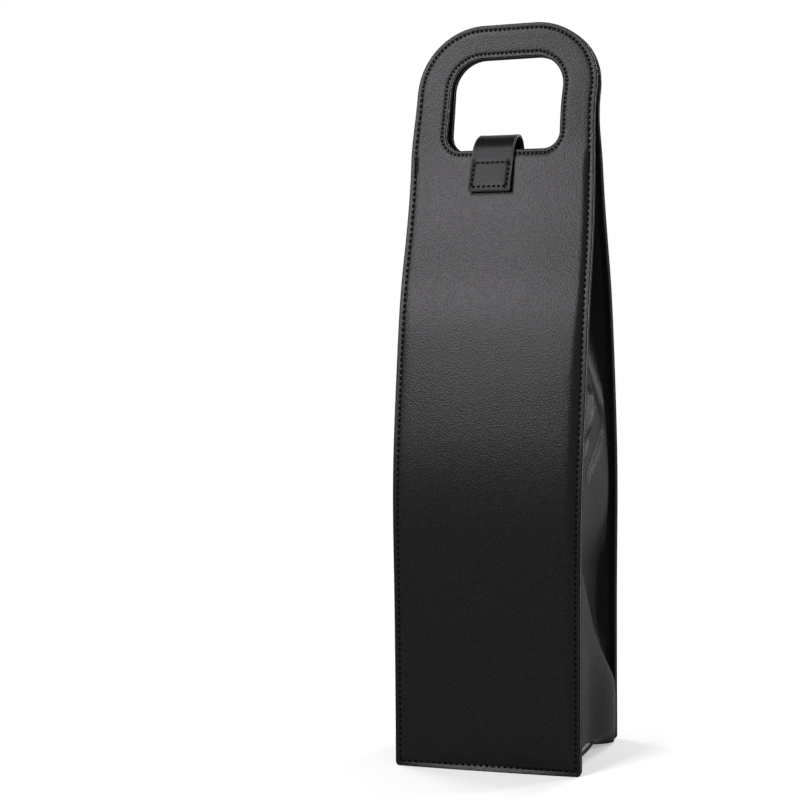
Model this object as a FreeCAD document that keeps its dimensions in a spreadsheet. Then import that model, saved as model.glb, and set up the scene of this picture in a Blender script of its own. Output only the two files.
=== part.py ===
import FreeCAD, Part
import Sketcher
import math
import os
from FreeCAD import Vector, Rotation, Placement

# Bottle carrier: two stiff leatherette panels with hand holes, folded gussets, a raised base
# and a magnetic strap. Millimetres, +Z up, origin on the floor at the middle, front towards -Y.

doc = FreeCAD.newDocument("bottle_carrier")
sheet = doc.addObject("Spreadsheet::Sheet", "sizes")

driving_sizes = {
    "panel_width": 96.0,
    "panel_height": 370.0,
    "half_depth": 44.0,             # outer face of a panel at the floor, from the middle
    "handle_half_depth": 4.0,       # outer face of a panel at the handle
    "shoulder_height": 223.0,       # of the leaning part, from the upright wall to the top
    "shoulder_radius": 190.0,
    "shoulder_lean": 18.0,          # degrees from upright
    "neck_radius": 330.0,
    "handle_corner_radius": 35.0,
    "foot_corner_radius": 4.0,
    "skin_thick": 1.0,
    "board_thick": 1.6,
    "lining_thick": 1.0,
    "layer_step": 0.4,              # board and lining end short of the skin's edges
    "cutout_width": 60.0,
    "cutout_bottom": 63.0,          # lower edge of the hand hole, below the top
    "cutout_height": 46.3,
    "cutout_top_radius": 16.5,
    "cutout_bottom_radius": 8.5,
    "edge_seam_inset": 2.6,
    "cutout_seam_inset": 2.2,
    "thread_width": 0.6,
    "thread_height": 0.3,
    "thread_seat_gap": 0.02,
    "tack_length": 9.0,
    "tack_width": 1.0,
    "tack_step": 1.4,               # from the seam line to the tack row beside it
    "tack_seat_gap": 0.06,
    "gusset_thick": 1.0,
    "gusset_flange": 4.0,
    "gusset_top": 2.5,              # below the lower edge of the hand hole
    "gusset_fold": 18.0,            # deepest inward fold
    "fold_start": 220.0,            # where the fold begins, below the top
    "fold_full": 108.0,             # where it is deepest, below the top
    "section_step": 14.0,           # between the gusset's sections where the panels bend
    "sheet_seat_gap": 0.3,          # a soft sheet against a panel
    "base_lift": 6.0,
    "base_thick": 1.0,
    "base_board_thick": 2.0,
    "base_lining_thick": 0.8,
    "base_board_gap": 0.5,
    "strap_width": 22.0,
    "strap_offset": -4.0,           # the strap sits left of the middle
    "strap_thick": 1.2,
    "strap_rise": 8.0,              # crest above the lower edge of the hand hole
    "strap_crest_gap": 0.3,         # between the two strap lengths at the crest
    "flap_edge_gap": 1.6,           # flap off the front panel at the hand hole
    "flap_flare": 6.3,              # degrees, away from the panel
    "flap_drop": 20.6,              # flap end below the lower edge of the hand hole
    "root_edge_gap": 0.45,
    "root_drop": 32.0,
    "tab_length": 16.5,
    "tab_thick": 1.6,
    "tab_side_margin": 0.6,
    "strap_seam_inset": 2.0,
    "root_seam_length": 14.0,
    "magnet_diameter": 12.0,
    "magnet_thick": 1.0,
    "magnet_gap": 0.1,
    "catch_diameter": 14.0,
    "catch_thick": 1.0,
    "catch_gap": 0.4,
    "overrun": 5.0,                 # how far every cut runs past its piece
}
bends = "(shoulder_radius + neck_radius)"
lean_text = "(shoulder_lean * 1 deg)"
derived_sizes = {
    "wall_top": "=panel_height - shoulder_height",
    "hole_foot": "=panel_height - cutout_bottom",
    "gusset_head": "=hole_foot - gusset_top",
    "fold_foot": "=panel_height - fold_start",
    "fold_head": "=panel_height - fold_full",
    "leaning_in": "=half_depth - handle_half_depth - %s * (1 - cos%s)" % (bends, lean_text),
    "neck_top": "=wall_top + %s * sin%s + leaning_in / tan%s" % (bends, lean_text, lean_text),
    "band_top": "=max(panel_height; neck_top) + overrun",
}
for row, (alias, value) in enumerate({**driving_sizes, **derived_sizes}.items(), start=1):
    sheet.set("A%d" % row, alias)
    sheet.set("B%d" % row, str(value))
    sheet.setAlias("B%d" % row, alias)
doc.recompute()


def size(alias):
    return float(sheet.get(alias))


panel_thick = size("skin_thick") + size("board_thick") + size("lining_thick")
cutout_top = size("hole_foot") + size("cutout_height")
crest_height = size("hole_foot") + size("strap_rise")
lean = math.radians(size("shoulder_lean"))
sub_parts = []


def panel_profile(offset):
    """Points and arcs of the side profile of a panel, `offset` inwards from its outer face."""
    shoulder_radius = size("shoulder_radius") - offset
    neck_radius = size("neck_radius") + offset
    wall = size("half_depth") - offset
    handle = size("handle_half_depth") - offset
    shoulder_centre = (wall - shoulder_radius, size("wall_top"))
    neck_centre = (handle + neck_radius, size("neck_top"))
    return {
        "wall": wall,
        "handle": handle,
        "shoulder_radius": shoulder_radius,
        "shoulder_centre": shoulder_centre,
        "shoulder_end": (shoulder_centre[0] + shoulder_radius * math.cos(lean),
                         shoulder_centre[1] + shoulder_radius * math.sin(lean)),
        "neck_radius": neck_radius,
        "neck_centre": neck_centre,
        "neck_start": (neck_centre[0] - neck_radius * math.cos(lean),
                       neck_centre[1] - neck_radius * math.sin(lean)),
        "neck_end": size("neck_top"),
    }


def panel_depth(height, offset):
    """Distance of a panel's face from the middle plane, and its slope from upright."""
    p = panel_profile(offset)
    if height <= size("wall_top"):
        return p["wall"], 0.0
    if height <= p["shoulder_end"][1]:
        angle = math.asin((height - p["shoulder_centre"][1]) / p["shoulder_radius"])
        return p["shoulder_centre"][0] + p["shoulder_radius"] * math.cos(angle), angle
    if height <= p["neck_start"][1]:
        fall = (height - p["shoulder_end"][1]) * math.tan(lean)
        return p["shoulder_end"][0] - fall, lean
    if height <= p["neck_end"]:
        angle = math.asin((p["neck_end"] - height) / p["neck_radius"])
        return p["neck_centre"][0] - p["neck_radius"] * math.cos(angle), angle
    return p["handle"], 0.0


def origin_plane(body, role):
    return [f for f in body.Origin.OriginFeatures if f.Role == role][0]


def new_body(label):
    body = doc.addObject("PartDesign::Body", label)
    body.Label = label
    sub_parts.append(body)
    return body


def new_sketch(body, role, name):
    sketch = body.newObject("Sketcher::SketchObject", name)
    sketch.AttachmentSupport = [(origin_plane(body, role), "")]
    sketch.MapMode = "FlatFace"
    return sketch


def point(pair):
    return Vector(pair[0], pair[1], 0)


def line(start, end):
    return Part.LineSegment(point(start), point(end)), 1, 2


def arc(centre, radius, start_angle, end_angle):
    """An arc as a step of a path: it runs clockwise where end_angle is the smaller one."""
    circle = Part.Circle(point(centre), Vector(0, 0, 1), radius)
    if end_angle > start_angle:
        return Part.ArcOfCircle(circle, start_angle, end_angle), 1, 2
    return Part.ArcOfCircle(circle, end_angle, start_angle), 2, 1


def closed_path(sketch, steps, corners=()):
    """Adds the steps as one closed path. Two lines meet in a corner, and an arc meets a line
    smoothly, but for the steps listed in corners, which end in one."""
    numbers = [sketch.addGeometry(geometry) for geometry, first, last in steps]
    for i, (geometry, first, last) in enumerate(steps):
        j = (i + 1) % len(steps)
        next_geometry, next_first, next_last = steps[j]
        straight = isinstance(geometry, Part.LineSegment) and isinstance(next_geometry, Part.LineSegment)
        kind = "Coincident" if straight or i in corners else "Tangent"
        sketch.addConstraint(Sketcher.Constraint(kind, numbers[i], last, numbers[j], next_first))
    return numbers


def bind(sketch, name, constraint, expression):
    index = sketch.addConstraint(constraint)
    sketch.renameConstraint(index, name)
    sketch.setExpression("Constraints." + name, expression)


def upright(sketch, numbers):
    for number in numbers:
        sketch.addConstraint(Sketcher.Constraint("Vertical", number))


def level(sketch, numbers):
    for number in numbers:
        sketch.addConstraint(Sketcher.Constraint("Horizontal", number))


def side_profile(body, near, far):
    """Sketch of the panel's side profile between two offsets, given as expressions. It runs past
    the panel's top, where the panel is trimmed."""
    sketch = new_sketch(body, "YZ_Plane", body.Label + "_profile")
    near_offset, near_text = near
    far_offset, far_text = far
    height = size("band_top")
    steps = []
    for offset, upwards in ((near_offset, True), (far_offset, False)):
        p = panel_profile(offset)
        foot = (-p["wall"], 0)
        shoulder = (-p["wall"], size("wall_top"))
        shoulder_end = (-p["shoulder_end"][0], p["shoulder_end"][1])
        neck_start = (-p["neck_start"][0], p["neck_start"][1])
        neck_end = (-p["handle"], p["neck_end"])
        top = (-p["handle"], height)
        shoulder_centre = (-p["shoulder_centre"][0], p["shoulder_centre"][1])
        neck_centre = (-p["neck_centre"][0], p["neck_centre"][1])
        if upwards:
            steps += [line(foot, shoulder),
                      arc(shoulder_centre, p["shoulder_radius"], math.pi, math.pi - lean),
                      line(shoulder_end, neck_start),
                      arc(neck_centre, p["neck_radius"], -lean, 0),
                      line(neck_end, top)]
            near_top, near_foot = top, foot
        else:
            steps += [line(near_top, top),
                      line(top, neck_end),
                      arc(neck_centre, p["neck_radius"], 0, -lean),
                      line(neck_start, shoulder_end),
                      arc(shoulder_centre, p["shoulder_radius"], math.pi - lean, math.pi),
                      line(shoulder, foot),
                      line(foot, near_foot)]
    n = closed_path(sketch, steps)
    upright(sketch, (n[0], n[4], n[6], n[10]))
    level(sketch, (n[5], n[11]))
    sketch.addConstraint(Sketcher.Constraint("Parallel", n[2], n[8]))
    fixed = Sketcher.Constraint
    near_p, far_p = panel_profile(near_offset), panel_profile(far_offset)
    sketch.addConstraint(fixed("PointOnObject", n[0], 1, -1))
    bind(sketch, "near_wall", fixed("DistanceX", n[0], 1, -1, 1, near_p["wall"]),
         "sizes.half_depth - " + near_text)
    bind(sketch, "far_wall", fixed("DistanceX", n[10], 2, -1, 1, far_p["wall"]),
         "sizes.half_depth - " + far_text)
    bind(sketch, "near_handle", fixed("DistanceX", n[4], 2, -1, 1, near_p["handle"]),
         "sizes.handle_half_depth - " + near_text)
    bind(sketch, "far_handle", fixed("DistanceX", n[6], 1, -1, 1, far_p["handle"]),
         "sizes.handle_half_depth - " + far_text)
    for name, number, end in (("near_shoulder", n[0], 2), ("far_shoulder", n[10], 1)):
        bind(sketch, name, fixed("DistanceY", -1, 1, number, end, size("wall_top")), "sizes.wall_top")
    bind(sketch, "top", fixed("DistanceY", -1, 1, n[4], 2, height), "sizes.band_top")
    bind(sketch, "lean", fixed("Angle", n[2], math.pi / 2 - lean), "90 deg - sizes.shoulder_lean * 1 deg")
    bind(sketch, "near_shoulder_bend", fixed("Radius", n[1], near_p["shoulder_radius"]),
         "sizes.shoulder_radius - " + near_text)
    bind(sketch, "near_neck_bend", fixed("Radius", n[3], near_p["neck_radius"]),
         "sizes.neck_radius + " + near_text)
    bind(sketch, "far_shoulder_bend", fixed("Radius", n[9], far_p["shoulder_radius"]),
         "sizes.shoulder_radius - " + far_text)
    bind(sketch, "far_neck_bend", fixed("Radius", n[7], far_p["neck_radius"]),
         "sizes.neck_radius + " + far_text)
    return sketch


def rounded_rectangle(sketch, prefix, half_width, bottom, top, bottom_radius, top_radius):
    """Rounded rectangle about the middle; each size is a pair of its value and its expression."""
    w, b, t, rb, rt = half_width[0], bottom[0], top[0], bottom_radius[0], top_radius[0]
    quarter = math.pi / 2
    steps = [line((-w + rb, b), (w - rb, b)),
             arc((w - rb, b + rb), rb, -quarter, 0),
             line((w, b + rb), (w, t - rt)),
             arc((w - rt, t - rt), rt, 0, quarter),
             line((w - rt, t), (-w + rt, t)),
             arc((-w + rt, t - rt), rt, quarter, 2 * quarter),
             line((-w, t - rt), (-w, b + rb)),
             arc((-w + rb, b + rb), rb, 2 * quarter, 3 * quarter)]
    n = closed_path(sketch, steps)
    level(sketch, (n[0], n[4]))
    upright(sketch, (n[2], n[6]))
    fixed = Sketcher.Constraint
    bind(sketch, prefix + "_right", fixed("DistanceX", -1, 1, n[2], 1, w), half_width[1])
    bind(sketch, prefix + "_left", fixed("DistanceX", n[6], 1, -1, 1, w), half_width[1])
    bind(sketch, prefix + "_top", fixed("DistanceY", -1, 1, n[4], 1, t), top[1])
    if b > 0:
        bind(sketch, prefix + "_bottom", fixed("DistanceY", -1, 1, n[0], 1, b), bottom[1])
    else:
        sketch.addConstraint(fixed("PointOnObject", n[0], 1, -1))
    for name, number, radius in (("_foot_right", n[1], bottom_radius), ("_head_right", n[3], top_radius),
                                 ("_head_left", n[5], top_radius), ("_foot_left", n[7], bottom_radius)):
        bind(sketch, prefix + name, fixed("Radius", number, radius[0]), radius[1])


def panel_outline(sketch, prefix, inset, inset_text):
    """The panel's outline, `inset` inside its edge."""
    rounded_rectangle(
        sketch, prefix,
        (size("panel_width") / 2 - inset, "sizes.panel_width / 2 - (%s)" % inset_text),
        (inset, inset_text),
        (size("panel_height") - inset, "sizes.panel_height - (%s)" % inset_text),
        (size("foot_corner_radius") - inset, "sizes.foot_corner_radius - (%s)" % inset_text),
        (size("handle_corner_radius") - inset, "sizes.handle_corner_radius - (%s)" % inset_text))


def cutout_outline(sketch, prefix, outset, outset_text):
    """The hand hole's outline, `outset` outside its edge."""
    rounded_rectangle(
        sketch, prefix,
        (size("cutout_width") / 2 + outset, "sizes.cutout_width / 2 + (%s)" % outset_text),
        (size("hole_foot") - outset, "sizes.hole_foot - (%s)" % outset_text),
        (cutout_top + outset, "sizes.hole_foot + sizes.cutout_height + (%s)" % outset_text),
        (size("cutout_bottom_radius") + outset, "sizes.cutout_bottom_radius + (%s)" % outset_text),
        (size("cutout_top_radius") + outset, "sizes.cutout_top_radius + (%s)" % outset_text))


def frame_outside(sketch):
    """A rectangle past the panel's edges, so that a pocket trims the panel to an outline inside it."""
    over = size("overrun")
    w, t = size("panel_width") / 2 + over, size("band_top") + over
    n = closed_path(sketch, [line((-w, -over), (w, -over)), line((w, -over), (w, t)),
                             line((w, t), (-w, t)), line((-w, t), (-w, -over))])
    level(sketch, (n[0], n[2]))
    upright(sketch, (n[1], n[3]))
    fixed = Sketcher.Constraint
    bind(sketch, "past_right", fixed("DistanceX", -1, 1, n[1], 1, w), "sizes.panel_width / 2 + sizes.overrun")
    bind(sketch, "past_left", fixed("DistanceX", n[3], 1, -1, 1, w), "sizes.panel_width / 2 + sizes.overrun")
    bind(sketch, "past_top", fixed("DistanceY", -1, 1, n[2], 1, t), "sizes.band_top + sizes.overrun")
    bind(sketch, "past_foot", fixed("DistanceY", n[0], 1, -1, 1, over), "sizes.overrun")


def pad_across(body, sketch, expression):
    pad = body.newObject("PartDesign::Pad", body.Label + "_pad")
    pad.Profile = sketch
    pad.Midplane = True
    pad.setExpression("Length", expression)
    doc.recompute()


def cut_through(body, sketch, name):
    """Pocket through the whole panel along Y; a cut that removes nothing is an error."""
    before = body.Shape.Volume
    pocket = body.newObject("PartDesign::Pocket", body.Label + "_" + name)
    pocket.Profile = sketch
    pocket.Midplane = True
    pocket.Type = "ThroughAll"
    doc.recompute()
    if body.Shape.Volume >= before:
        raise RuntimeError("%s: the cut %s removed nothing" % (body.Label, name))


half_turn = Placement(Vector(0, 0, 0), Rotation(Vector(0, 0, 1), 180))


def panel_body(label, turned, near, far):
    """A band of the panel's side profile, as wide as the panel, before it is trimmed."""
    body = new_body(label)
    pad_across(body, side_profile(body, near, far), "sizes.panel_width")
    if turned:
        body.Placement = half_turn
    return body


def panel_layer(label, turned, near, far, step, step_text):
    """One layer of a panel: the bent band trimmed `step` inside the outline and round the hand hole."""
    body = panel_body(label, turned, near, far)
    trim = new_sketch(body, "XZ_Plane", label + "_outline")
    frame_outside(trim)
    panel_outline(trim, "edge", step, step_text)
    cut_through(body, trim, "trim")
    hole = new_sketch(body, "XZ_Plane", label + "_hand_hole")
    cutout_outline(hole, "hole", step, step_text)
    cut_through(body, hole, "hand_hole_cut")
    return body


def thread_run(label, turned, outline, inset_alias, sign):
    """A run of thread on the outer face of a panel, along an outline."""
    seat = size("thread_seat_gap")
    near = (-(seat + size("thread_height")), "(-sizes.thread_seat_gap - sizes.thread_height)")
    far = (-seat, "(-sizes.thread_seat_gap)")
    body = panel_body(label, turned, near, far)
    half = size("thread_width") / 2
    inset = size(inset_alias)
    text = "sizes.%s %s sizes.thread_width / 2"
    outer = new_sketch(body, "XZ_Plane", label + "_outside")
    frame_outside(outer)
    outline(outer, "outside", inset - sign * half, text % (inset_alias, "-" if sign > 0 else "+"))
    cut_through(body, outer, "outside_cut")
    inner = new_sketch(body, "XZ_Plane", label + "_inside")
    outline(inner, "inside", inset + sign * half, text % (inset_alias, "+" if sign > 0 else "-"))
    cut_through(body, inner, "inside_cut")


def outer_face_frame(height, x, away):
    """Placement on the front panel's outer face: local X across, local Y up the face, local Z outwards."""
    depth, slope = panel_depth(height, 0)
    tilt = Rotation(Vector(1, 0, 0), 90 - math.degrees(slope))
    outwards = Vector(0, -math.cos(slope), math.sin(slope))
    return Placement(Vector(x, -depth, height) + outwards * away, tilt)


def bar_tacks(label, turned):
    """Two short dense rows beside the edge seam, where the gussets end."""
    across = size("panel_width") / 2 - size("edge_seam_inset") - size("tack_step")
    height = size("gusset_head") - size("tack_length") / 2
    boxes = []
    for side in (-1, 1):
        box = Part.makeBox(size("tack_width"), size("tack_length"), size("thread_height"),
                           Vector(-size("tack_width") / 2, -size("tack_length") / 2, 0))
        box.Placement = outer_face_frame(height, side * across, size("tack_seat_gap"))
        boxes.append(box)
    tacks = doc.addObject("Part::Feature", label)
    tacks.Label = label
    tacks.Shape = Part.makeCompound(boxes)
    if turned:
        tacks.Placement = half_turn
    sub_parts.append(tacks)


# Panels: outer skin, stiff board and lining, with the thread runs on the outer skin
outer_face = (0, "0")
skin_back = (size("skin_thick"), "sizes.skin_thick")
board_back = (size("skin_thick") + size("board_thick"), "(sizes.skin_thick + sizes.board_thick)")
lining_back = (panel_thick, "(sizes.skin_thick + sizes.board_thick + sizes.lining_thick)")
flush = (0, "0")
stepped = (size("layer_step"), "sizes.layer_step")
layers = (
    ("outer_skin", outer_face, skin_back, flush),
    ("board", skin_back, board_back, stepped),
    ("lining", board_back, lining_back, stepped),
)
panels = {}
for side, turned in (("front", False), ("back", True)):
    for layer, near, far, step in layers:
        panels[side + "_" + layer] = panel_layer(side + "_" + layer, turned, near, far, *step)
    thread_run(side + "_edge_thread", turned, panel_outline, "edge_seam_inset", 1)
    thread_run(side + "_hand_hole_thread", turned, cutout_outline, "cutout_seam_inset", -1)
    bar_tacks(side + "_bar_tacks", turned)


# Gussets: one soft strip each side, its flanges on the linings, folding inwards towards the top
def fold_depth(height):
    share = (height - size("fold_foot")) / (size("fold_head") - size("fold_foot"))
    share = min(max(share, 0), 1)
    return size("gusset_fold") * share * share * (3 - 2 * share)


def gusset_heights():
    """Heights of the gusset's sections: close together where the panels bend or the fold deepens."""
    p = panel_profile(panel_thick)
    foot = size("base_lift") + size("base_thick")
    head = size("gusset_head")
    breaks = [size("wall_top"), size("fold_foot"), p["shoulder_end"][1], p["neck_start"][1], size("fold_head")]
    stops = [foot] + sorted(z for z in breaks if foot < z < head) + [head]
    heights = [foot]
    for low, high in zip(stops, stops[1:]):
        straight = high <= size("wall_top")
        steps = 1 if straight else math.ceil((high - low) / size("section_step"))
        heights += [low + (high - low) * (i + 1) / steps for i in range(steps)]
    return heights


def gusset_section(side, height):
    """Closed outline of the strip at a height: front flange, web with its fold, back flange."""
    sheet_thick = size("gusset_thick")
    seat = panel_depth(height, panel_thick)[0] - size("sheet_seat_gap")
    edge = size("panel_width") / 2
    web = edge - size("gusset_flange")
    inner_seat = seat - sheet_thick
    fold = fold_depth(height)
    web_thick = sheet_thick * math.hypot(fold, inner_seat) / inner_seat
    outside = [(edge, -seat), (edge, -inner_seat), (web, -inner_seat), (web - fold, 0),
               (web, inner_seat), (edge, inner_seat), (edge, seat)]
    inside = [(web - web_thick, seat), (web - fold - web_thick, 0), (web - web_thick, -seat)]
    corners = [Vector(side * x, y, height) for x, y in outside + inside]
    return Part.makePolygon(corners + corners[:1])


for name, side in (("left_gusset", -1), ("right_gusset", 1)):
    gusset = doc.addObject("Part::Feature", name)
    gusset.Label = name
    gusset.Shape = Part.makeLoft([gusset_section(side, z) for z in gusset_heights()], True, True)
    sub_parts.append(gusset)

# Base: a channel between the panels, raised off the floor, with a board and a lining on it
base_half_depth = size("half_depth") - panel_thick - size("sheet_seat_gap")
base_half_text = ("(sizes.half_depth - sizes.skin_thick - sizes.board_thick - sizes.lining_thick"
                  " - sizes.sheet_seat_gap)")


def base_channel(label):
    body = new_body(label)
    sketch = new_sketch(body, "YZ_Plane", label + "_profile")
    out, lift, thick = base_half_depth, size("base_lift"), size("base_thick")
    inn, top = out - thick, lift + thick
    corners = [(-out, 0), (-inn, 0), (-inn, lift), (inn, lift), (inn, 0), (out, 0), (out, top), (-out, top)]
    n = closed_path(sketch, [line(a, b) for a, b in zip(corners, corners[1:] + corners[:1])])
    level(sketch, (n[0], n[2], n[4], n[6]))
    upright(sketch, (n[1], n[3], n[5], n[7]))
    fixed = Sketcher.Constraint
    sketch.addConstraint(fixed("PointOnObject", n[0], 1, -1))
    sketch.addConstraint(fixed("PointOnObject", n[4], 1, -1))
    bind(sketch, "front", fixed("DistanceX", n[0], 1, -1, 1, out), base_half_text)
    bind(sketch, "back", fixed("DistanceX", -1, 1, n[4], 2, out), base_half_text)
    bind(sketch, "front_wall", fixed("DistanceX", n[0], 1, n[0], 2, thick), "sizes.base_thick")
    bind(sketch, "back_wall", fixed("DistanceX", n[4], 1, n[4], 2, thick), "sizes.base_thick")
    bind(sketch, "lift", fixed("DistanceY", -1, 1, n[2], 1, lift), "sizes.base_lift")
    bind(sketch, "floor", fixed("DistanceY", n[2], 1, n[6], 2, thick), "sizes.base_thick")
    pad_across(body, sketch, "sizes.panel_width - 2 * sizes.gusset_flange")


def base_plate(label, bottom_text, thick_alias):
    plate = doc.addObject("Part::Box", label)
    plate.Label = label
    half_width = ("(sizes.panel_width / 2 - sizes.gusset_flange - sizes.gusset_thick"
                  " - sizes.base_board_gap)")
    half_length = base_half_text[:-1] + " - sizes.base_board_gap)"
    plate.setExpression("Length", "2 * " + half_width)
    plate.setExpression("Width", "2 * " + half_length)
    plate.setExpression("Height", "sizes." + thick_alias)
    plate.setExpression("Placement.Base.x", "-" + half_width)
    plate.setExpression("Placement.Base.y", "-" + half_length)
    plate.setExpression("Placement.Base.z", bottom_text)
    sub_parts.append(plate)


base_channel("base_skin")
base_plate("base_board", "sizes.base_lift + sizes.base_thick", "base_board_thick")
base_plate("base_lining", "sizes.base_lift + sizes.base_thick + sizes.base_board_thick", "base_lining_thick")


# Strap: a root sewn on the back panel and a flap over the front, which meet at the crest
def strap_leg(edge_gap, flare, drop):
    """The straight leg of a strap length beside a panel: its lean, its bend and its tip."""
    low = size("hole_foot") - drop
    edge_depth = panel_depth(size("hole_foot"), 0)[0]
    leg_lean = math.atan2(panel_depth(low, 0)[0] - edge_depth, drop) + math.radians(flare)
    start = size("strap_crest_gap") / 2
    across = edge_depth + (edge_gap + size("strap_thick")) / math.cos(leg_lean)
    room = across - start - size("strap_rise") * math.tan(leg_lean)
    bend = room / (math.cos(leg_lean) - (1 - math.sin(leg_lean)) * math.tan(leg_lean))
    tip = (across + drop * math.tan(leg_lean), low)
    return {"lean": leg_lean, "bend": bend, "tip": tip, "start": start}


def strap_length(label, leg, sign, drop_alias):
    """One strap length, padded across its width: level at the crest, then bent down its leg."""
    body = new_body(label)
    sketch = new_sketch(body, "YZ_Plane", label + "_profile")
    thick, bend = size("strap_thick"), leg["bend"]
    centre = (sign * leg["start"], crest_height - bend)
    top_angle = math.pi / 2
    leg_angle = leg["lean"] if sign > 0 else math.pi - leg["lean"]

    def on_bend(radius, angle):
        return centre[0] + radius * math.cos(angle), centre[1] + radius * math.sin(angle)

    tip = (sign * leg["tip"][0], leg["tip"][1])
    inner_tip = (tip[0] - thick * math.cos(leg_angle), tip[1] - thick * math.sin(leg_angle))
    steps = [arc(centre, bend, top_angle, leg_angle),
             line(on_bend(bend, leg_angle), tip),
             line(tip, inner_tip),
             line(inner_tip, on_bend(bend - thick, leg_angle)),
             arc(centre, bend - thick, leg_angle, top_angle),
             line(on_bend(bend - thick, top_angle), on_bend(bend, top_angle))]
    n = closed_path(sketch, steps, corners=(4, 5))
    upright(sketch, (n[5],))
    fixed = Sketcher.Constraint
    sketch.addConstraint(fixed("Coincident", n[0], 3, n[4], 3))
    sketch.addConstraint(fixed("Perpendicular", n[1], n[2]))
    bind(sketch, "thick", fixed("Distance", n[2], thick), "sizes.strap_thick")
    bind(sketch, "crest", fixed("DistanceY", -1, 1, n[5], 2, crest_height),
         "sizes.hole_foot + sizes.strap_rise")
    bind(sketch, "tip", fixed("DistanceY", -1, 1, n[1], 2, leg["tip"][1]),
         "sizes.hole_foot - sizes." + drop_alias)
    first, last = ((-1, 1), (n[5], 2)) if sign > 0 else ((n[5], 2), (-1, 1))
    bind(sketch, "crest_gap", fixed("DistanceX", *first, *last, leg["start"]), "sizes.strap_crest_gap / 2")
    pad_across(body, sketch, "sizes.strap_width")
    body.setExpression("Placement.Base.x", "sizes.strap_offset")


def leg_frame(leg, sign):
    """Placement at the tip of a leg's outer face: local X across, local Y up the leg, local Z outwards."""
    turn = Rotation(Vector(1, 0, 0), 90 - math.degrees(leg["lean"]))
    if sign > 0:
        turn = Rotation(Vector(0, 0, 1), 180) * turn
    return Placement(Vector(size("strap_offset"), sign * leg["tip"][0], leg["tip"][1]), turn)


def helper_box(name, frame, corner, sides):
    box = doc.addObject("Part::Box", name)
    for side, expression in zip(("Length", "Width", "Height"), sides):
        box.setExpression(side, expression)
    box.Placement = frame * Placement(Vector(*corner), Rotation())
    return box


def part_cut(label, base, tool):
    cut = doc.addObject("Part::Cut", label)
    cut.Label = label
    cut.Base = base
    cut.Tool = tool
    sub_parts.append(cut)


def stitched_square(label, frame, length, length_text):
    """A square of thread on the outer face of a strap leg, near its tip."""
    inset, width, seat = size("strap_seam_inset"), size("thread_width"), size("thread_seat_gap")
    across = size("strap_width") / 2 - inset
    half, over = width / 2, size("overrun")
    across_text = "sizes.strap_width - 2 * sizes.strap_seam_inset"
    outer = helper_box(label + "_outside", frame, (-across - half, inset - half, seat),
                       (across_text + " + sizes.thread_width", length_text + " + sizes.thread_width",
                        "sizes.thread_height"))
    inner = helper_box(label + "_inside", frame, (-across + half, inset + half, seat - over),
                       (across_text + " - sizes.thread_width", length_text + " - sizes.thread_width",
                        "sizes.thread_height + 2 * sizes.overrun"))
    part_cut(label, outer, inner)


def disc(label, frame, diameter_alias, thick_alias, bottom):
    plate = doc.addObject("Part::Cylinder", label)
    plate.Label = label
    plate.setExpression("Radius", "sizes.%s / 2" % diameter_alias)
    plate.setExpression("Height", "sizes." + thick_alias)
    plate.Placement = frame * Placement(Vector(0, 0, bottom), Rotation())
    sub_parts.append(plate)


root_leg = strap_leg(size("root_edge_gap"), 0, size("root_drop"))
strap_length("strap_root", root_leg, 1, "root_drop")
stitched_square("strap_root_thread", leg_frame(root_leg, 1), size("root_seam_length"),
                "sizes.root_seam_length")

flap_leg = strap_leg(size("flap_edge_gap"), size("flap_flare"), size("flap_drop"))
flap_frame = leg_frame(flap_leg, -1)
strap_length("strap_flap", flap_leg, -1, "flap_drop")
stitched_square("tab_thread", flap_frame, size("tab_length") - 2 * size("strap_seam_inset"),
                "sizes.tab_length - 2 * sizes.strap_seam_inset")

# Tab: a backing under the flap's end, with the magnet let into it, and the catch disc in the board
tab_across = size("strap_width") / 2 - size("tab_side_margin")
backing_block = helper_box("tab_backing_block", flap_frame,
                           (-tab_across, 0, -size("strap_thick") - size("tab_thick")),
                           ("sizes.strap_width - 2 * sizes.tab_side_margin", "sizes.tab_length",
                            "sizes.tab_thick"))
magnet_frame = flap_frame * Placement(Vector(0, size("tab_length") / 2, -size("strap_thick")), Rotation())
pocket_floor = -size("magnet_thick") - size("magnet_gap")
magnet_pocket = doc.addObject("Part::Cylinder", "magnet_pocket")
magnet_pocket.setExpression("Radius", "sizes.magnet_diameter / 2 + sizes.magnet_gap")
magnet_pocket.setExpression("Height", "sizes.magnet_thick + sizes.magnet_gap + sizes.overrun")
magnet_pocket.Placement = magnet_frame * Placement(Vector(0, 0, pocket_floor), Rotation())
part_cut("tab_backing", backing_block, magnet_pocket)
disc("tab_magnet", magnet_frame, "magnet_diameter", "magnet_thick", pocket_floor)

catch_height = magnet_frame.Base.z
catch_offset = size("skin_thick") + size("board_thick") / 2
catch_depth, catch_slope = panel_depth(catch_height, catch_offset)
catch_frame = Placement(Vector(size("strap_offset"), -catch_depth, catch_height),
                        Rotation(Vector(1, 0, 0), 90 - math.degrees(catch_slope)))
disc("front_catch_disc", catch_frame, "catch_diameter", "catch_thick", -size("catch_thick") / 2)
catch_sketch = new_sketch(panels["front_board"], "XZ_Plane", "front_board_catch_hole")
catch_radius = size("catch_diameter") / 2 + size("catch_gap")
circle = catch_sketch.addGeometry(Part.Circle(Vector(size("strap_offset"), catch_height, 0),
                                              Vector(0, 0, 1), catch_radius))
bind(catch_sketch, "hole", Sketcher.Constraint("Radius", circle, catch_radius),
     "sizes.catch_diameter / 2 + sizes.catch_gap")
cut_through(panels["front_board"], catch_sketch, "catch_hole")

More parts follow.
